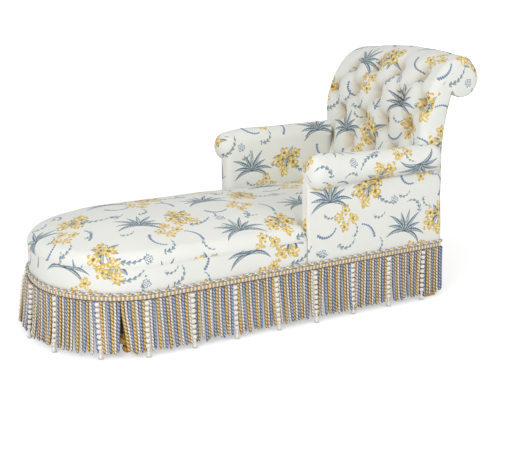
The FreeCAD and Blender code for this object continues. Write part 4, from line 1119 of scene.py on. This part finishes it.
line = add(tree, "Math", {0: split.outputs[1], 1: 0.5}, operation="PINGPONG")
line = add(tree, "Math", {0: line.outputs[0], 1: 0.14}, operation="LESS_THAN")
blocks = add(tree, "MixRGB", {0: line.outputs[0], 1: blocks.outputs[0], 2: linear("#7C90BA")})
threads = add(tree, "Math", {0: split.outputs[1], 1: 60.0}, operation="MULTIPLY")
threads = add(tree, "Math", {0: threads.outputs[0]}, operation="SINE")
bump = add(tree, "Bump", {"Strength": 0.6, "Distance": 0.0004, "Height": threads.outputs[0]})
tree.links.new(blocks.outputs[0], shader.inputs["Base Color"])
tree.links.new(bump.outputs[0], shader.inputs["Normal"])
braid_off = 0.0004
block_pair = 0.0144
rib_steps = 3
braid_length = skirt_length(braid_off)
pairs = round(braid_length / block_pair)
braid_steps = pairs * 2 * rib_steps
braid = new_cloth()
rings = []
for i in range(braid_steps + 1):
    share = (i % braid_steps) / braid_steps
    base, out = skirt_line(share * braid_length, braid_off)
    fat = 0.0044 + 0.0013 * abs(math.sin(math.pi * i / rib_steps))
    section = ((0.0, 0.205), (0.0038, 0.205), (0.0046, 0.2066), (0.0036, 0.2082), (fat, 0.2105),
               (fat + 0.0006, 0.2145), (fat, 0.2195), (0.0040, 0.2222), (0.0, 0.2226), (0.0, 0.205))
    rings.append([base + out * reach + upward * z for reach, z in section])
section_shares = np.array([0, 0.05, 0.12, 0.17, 0.3, 0.5, 0.75, 0.9, 1.0, 1.0])
lay(braid, np.array(rings), cloth_grid(np.linspace(0, pairs, braid_steps + 1), section_shares))
header_braid = sew("header_braid", braid, finish)
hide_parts("fringe_braid")

# Bullion fringe: twisted ropes in slate, cream and gold that hang from the braid almost
# to the floor, each doubled back and twisted on itself, so that no two hang quite alike.
# They swing out at the foot and part in front of the near front leg.
slate_yarn = yarn("slate_gimp_yarn", "#8497BC", "#46547A", "#AFBEDB", 0.013, 0.0016)
cream_yarn = yarn("cream_gimp_yarn", "#EBE2D4", "#957F5F", "#FAF5EA", 0.012, 0.0014)
gold_yarn = yarn("gold_gimp_yarn", "#D0A853", "#7A581F", "#EED08A", 0.013, 0.0016)
rope_top = 0.2052
rope_low = 0.023
rope_off = 0.00635
rope_radius = 0.0058
cream_rope_radius = 0.0050
near_leg_distance = 1.3535
ropes_between = 13
first_tassel = 7
slot_count = 25 * (ropes_between + 1)
slot_pitch = skirt_length(rope_off) / slot_count
chance = random.Random(11)
hangs = []
drift = 0.0
for number in range(slot_count):
    drift = 0.8 * drift + chance.uniform(-0.0045, 0.0045)
    hangs.append((chance.uniform(-0.005, 0.007), drift, chance.uniform(-0.0022, 0.0022)))


def hang(number, place, out, drop):
    """Where a rope's centre is after a drop from 0 at the braid to 1 at its end."""
    lean_out, lean_along, bow = hangs[number]
    along = Vector((-out.y, out.x, 0))
    foot = max(0.0, -out.y) if place.y < foot_centre else 0.0
    flare = (0.008 + 0.010 * foot) * drop ** 1.6 + 0.024 * far_corner(out) * (1 - math.exp(-6 * drop))
    from_leg = (number + 0.5) * slot_pitch - near_leg_distance
    part = 0.013 * math.copysign(math.exp(-(from_leg / 0.035) ** 2), from_leg) * max(0.0, drop - 0.25) / 0.75
    return (place + out * (lean_out * drop ** 1.5 + flare)
            + along * (lean_along * drop ** 1.3 + bow * math.sin(math.pi * drop) - part))


ropes = {"slate": new_cloth(), "cream": new_cloth(), "gold": new_cloth()}
rope_slots = [n for n in range(slot_count) if n % (ropes_between + 1) != first_tassel]
for order, number in enumerate(rope_slots):
    place, out = skirt_line((number + 0.5) * slot_pitch, rope_off)
    along = Vector((-out.y, out.x, 0))
    colour = ("slate", "cream", "gold")[order % 3]
    reach = cream_rope_radius if colour == "cream" else rope_radius
    low_end = rope_low + chance.uniform(-0.005, 0.005)
    start = chance.random()
    rings = []
    for drop in (0.0, 0.12, 0.3, 0.5, 0.7, 0.88, 0.97):
        centre = hang(number, place, out, drop)
        centre.z = rope_top + (low_end - rope_top) * drop
        rings.append(hoop(centre, out, along, reach * (1.0 if drop < 0.9 else 0.9), 9))
    tip = hang(number, place, out, 1.0)
    tip.z = low_end - 0.002
    rings.append(hoop(tip, out, along, 0.5 * reach, 9))
    points = np.array(rings)
    places = np.dstack(np.broadcast_arrays(np.linspace(0, 1, 9)[None, :], points[..., 2] + 0.013 * start))
    lay(ropes[colour], points, places)
for colour, finish, slot, node in (
    ("slate", slate_yarn, "fringe_blue", "fringe_ropes_blue"),
    ("cream", cream_yarn, "fringe_cream", "fringe_ropes_cream"),
    ("gold", gold_yarn, "fringe_gold", "fringe_ropes_gold"),
):
    piece = sew("bullion_ropes_" + colour, ropes[colour], finish)
    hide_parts(node)

# Tassels: after every thirteen ropes hangs a strand of knotted cream cotton beads, darker at the top and foot
# of each bead where it meets the next, that ends in a cut tuft just above the floor.
finish, tree, shader = new_finish("knotted_cream_cotton", "#EFE9DC", 0.75, sheen=0.2)
place = add(tree, "TexCoord").outputs["Object"]
fibres = add(tree, "TexNoise", {"Vector": place, "Scale": 420.0, "Detail": 3.0})
ramp = add(tree, "ValToRGB", {0: fibres.outputs["Fac"]}, stops=((0.3, "#DDD3C0"), (0.6, "#FCF9F1")))
knot = add(tree, "SeparateXYZ", {0: add(tree, "UVMap", uv_map="cloth").outputs[0]})
knot = add(tree, "Math", {0: knot.outputs[1], 1: 0.5}, operation="PINGPONG")
# Each bead is darkened towards its top and foot, where it meets the next.
bead_ends = add(tree, "MapRange", {0: knot.outputs[0], 1: 0.06, 2: 0.2, 3: 0.8, 4: 0.0})
knotted = add(tree, "MixRGB", {0: bead_ends.outputs[0], 1: ramp.outputs[0], 2: linear("#6B5636")})
tree.links.new(knotted.outputs[0], shader.inputs["Base Color"])
bump = add(tree, "Bump", {"Strength": 0.7, "Distance": 0.0006, "Height": fibres.outputs["Fac"]})
tree.links.new(bump.outputs[0], shader.inputs["Normal"])
bead_count = 9
strand_length = 0.170
bead_reach = 0.0078
bead_half = 0.0086
tuft_profile = ((0.0, 0.038), (0.0050, 0.035), (0.0056, 0.030), (0.0034, 0.027), (0.0072, 0.015),
                (0.0092, 0.0045), (0.0, 0.006))
rearward = Vector((0, 1, 0))
tassels = new_cloth()
for number in range(first_tassel, slot_count, ropes_between + 1):
    place, out = skirt_line((number + 0.5) * slot_pitch, rope_off)
    for bead in range(bead_count):
        drop = (bead + 0.5) / bead_count
        centre = hang(number, place, out, drop * 0.85) + out * 0.006
        centre.z = rope_top - strand_length * drop
        rings = [hoop(centre + upward * (bead_half * math.cos(tip)), sideways, rearward,
                      bead_reach * math.sin(tip) ** 0.6 + 0.0009, 8) for tip in np.linspace(0, math.pi, 5)]
        lay(tassels, np.array(rings), cloth_grid(np.linspace(0, 1, 5), np.linspace(0, 1, 8))[..., ::-1])
    foot = hang(number, place, out, 0.92) + out * 0.005
    rings = [hoop(Vector((foot.x, foot.y, z)), sideways, rearward, reach, 10) for reach, z in tuft_profile]
    places = cloth_grid(np.full(len(tuft_profile), 0.5), np.linspace(0, 1, 10))
    lay(tassels, np.array(rings), places[..., ::-1])
beads = sew("beaded_tassels", tassels, finish)
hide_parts("fringe_tassels")
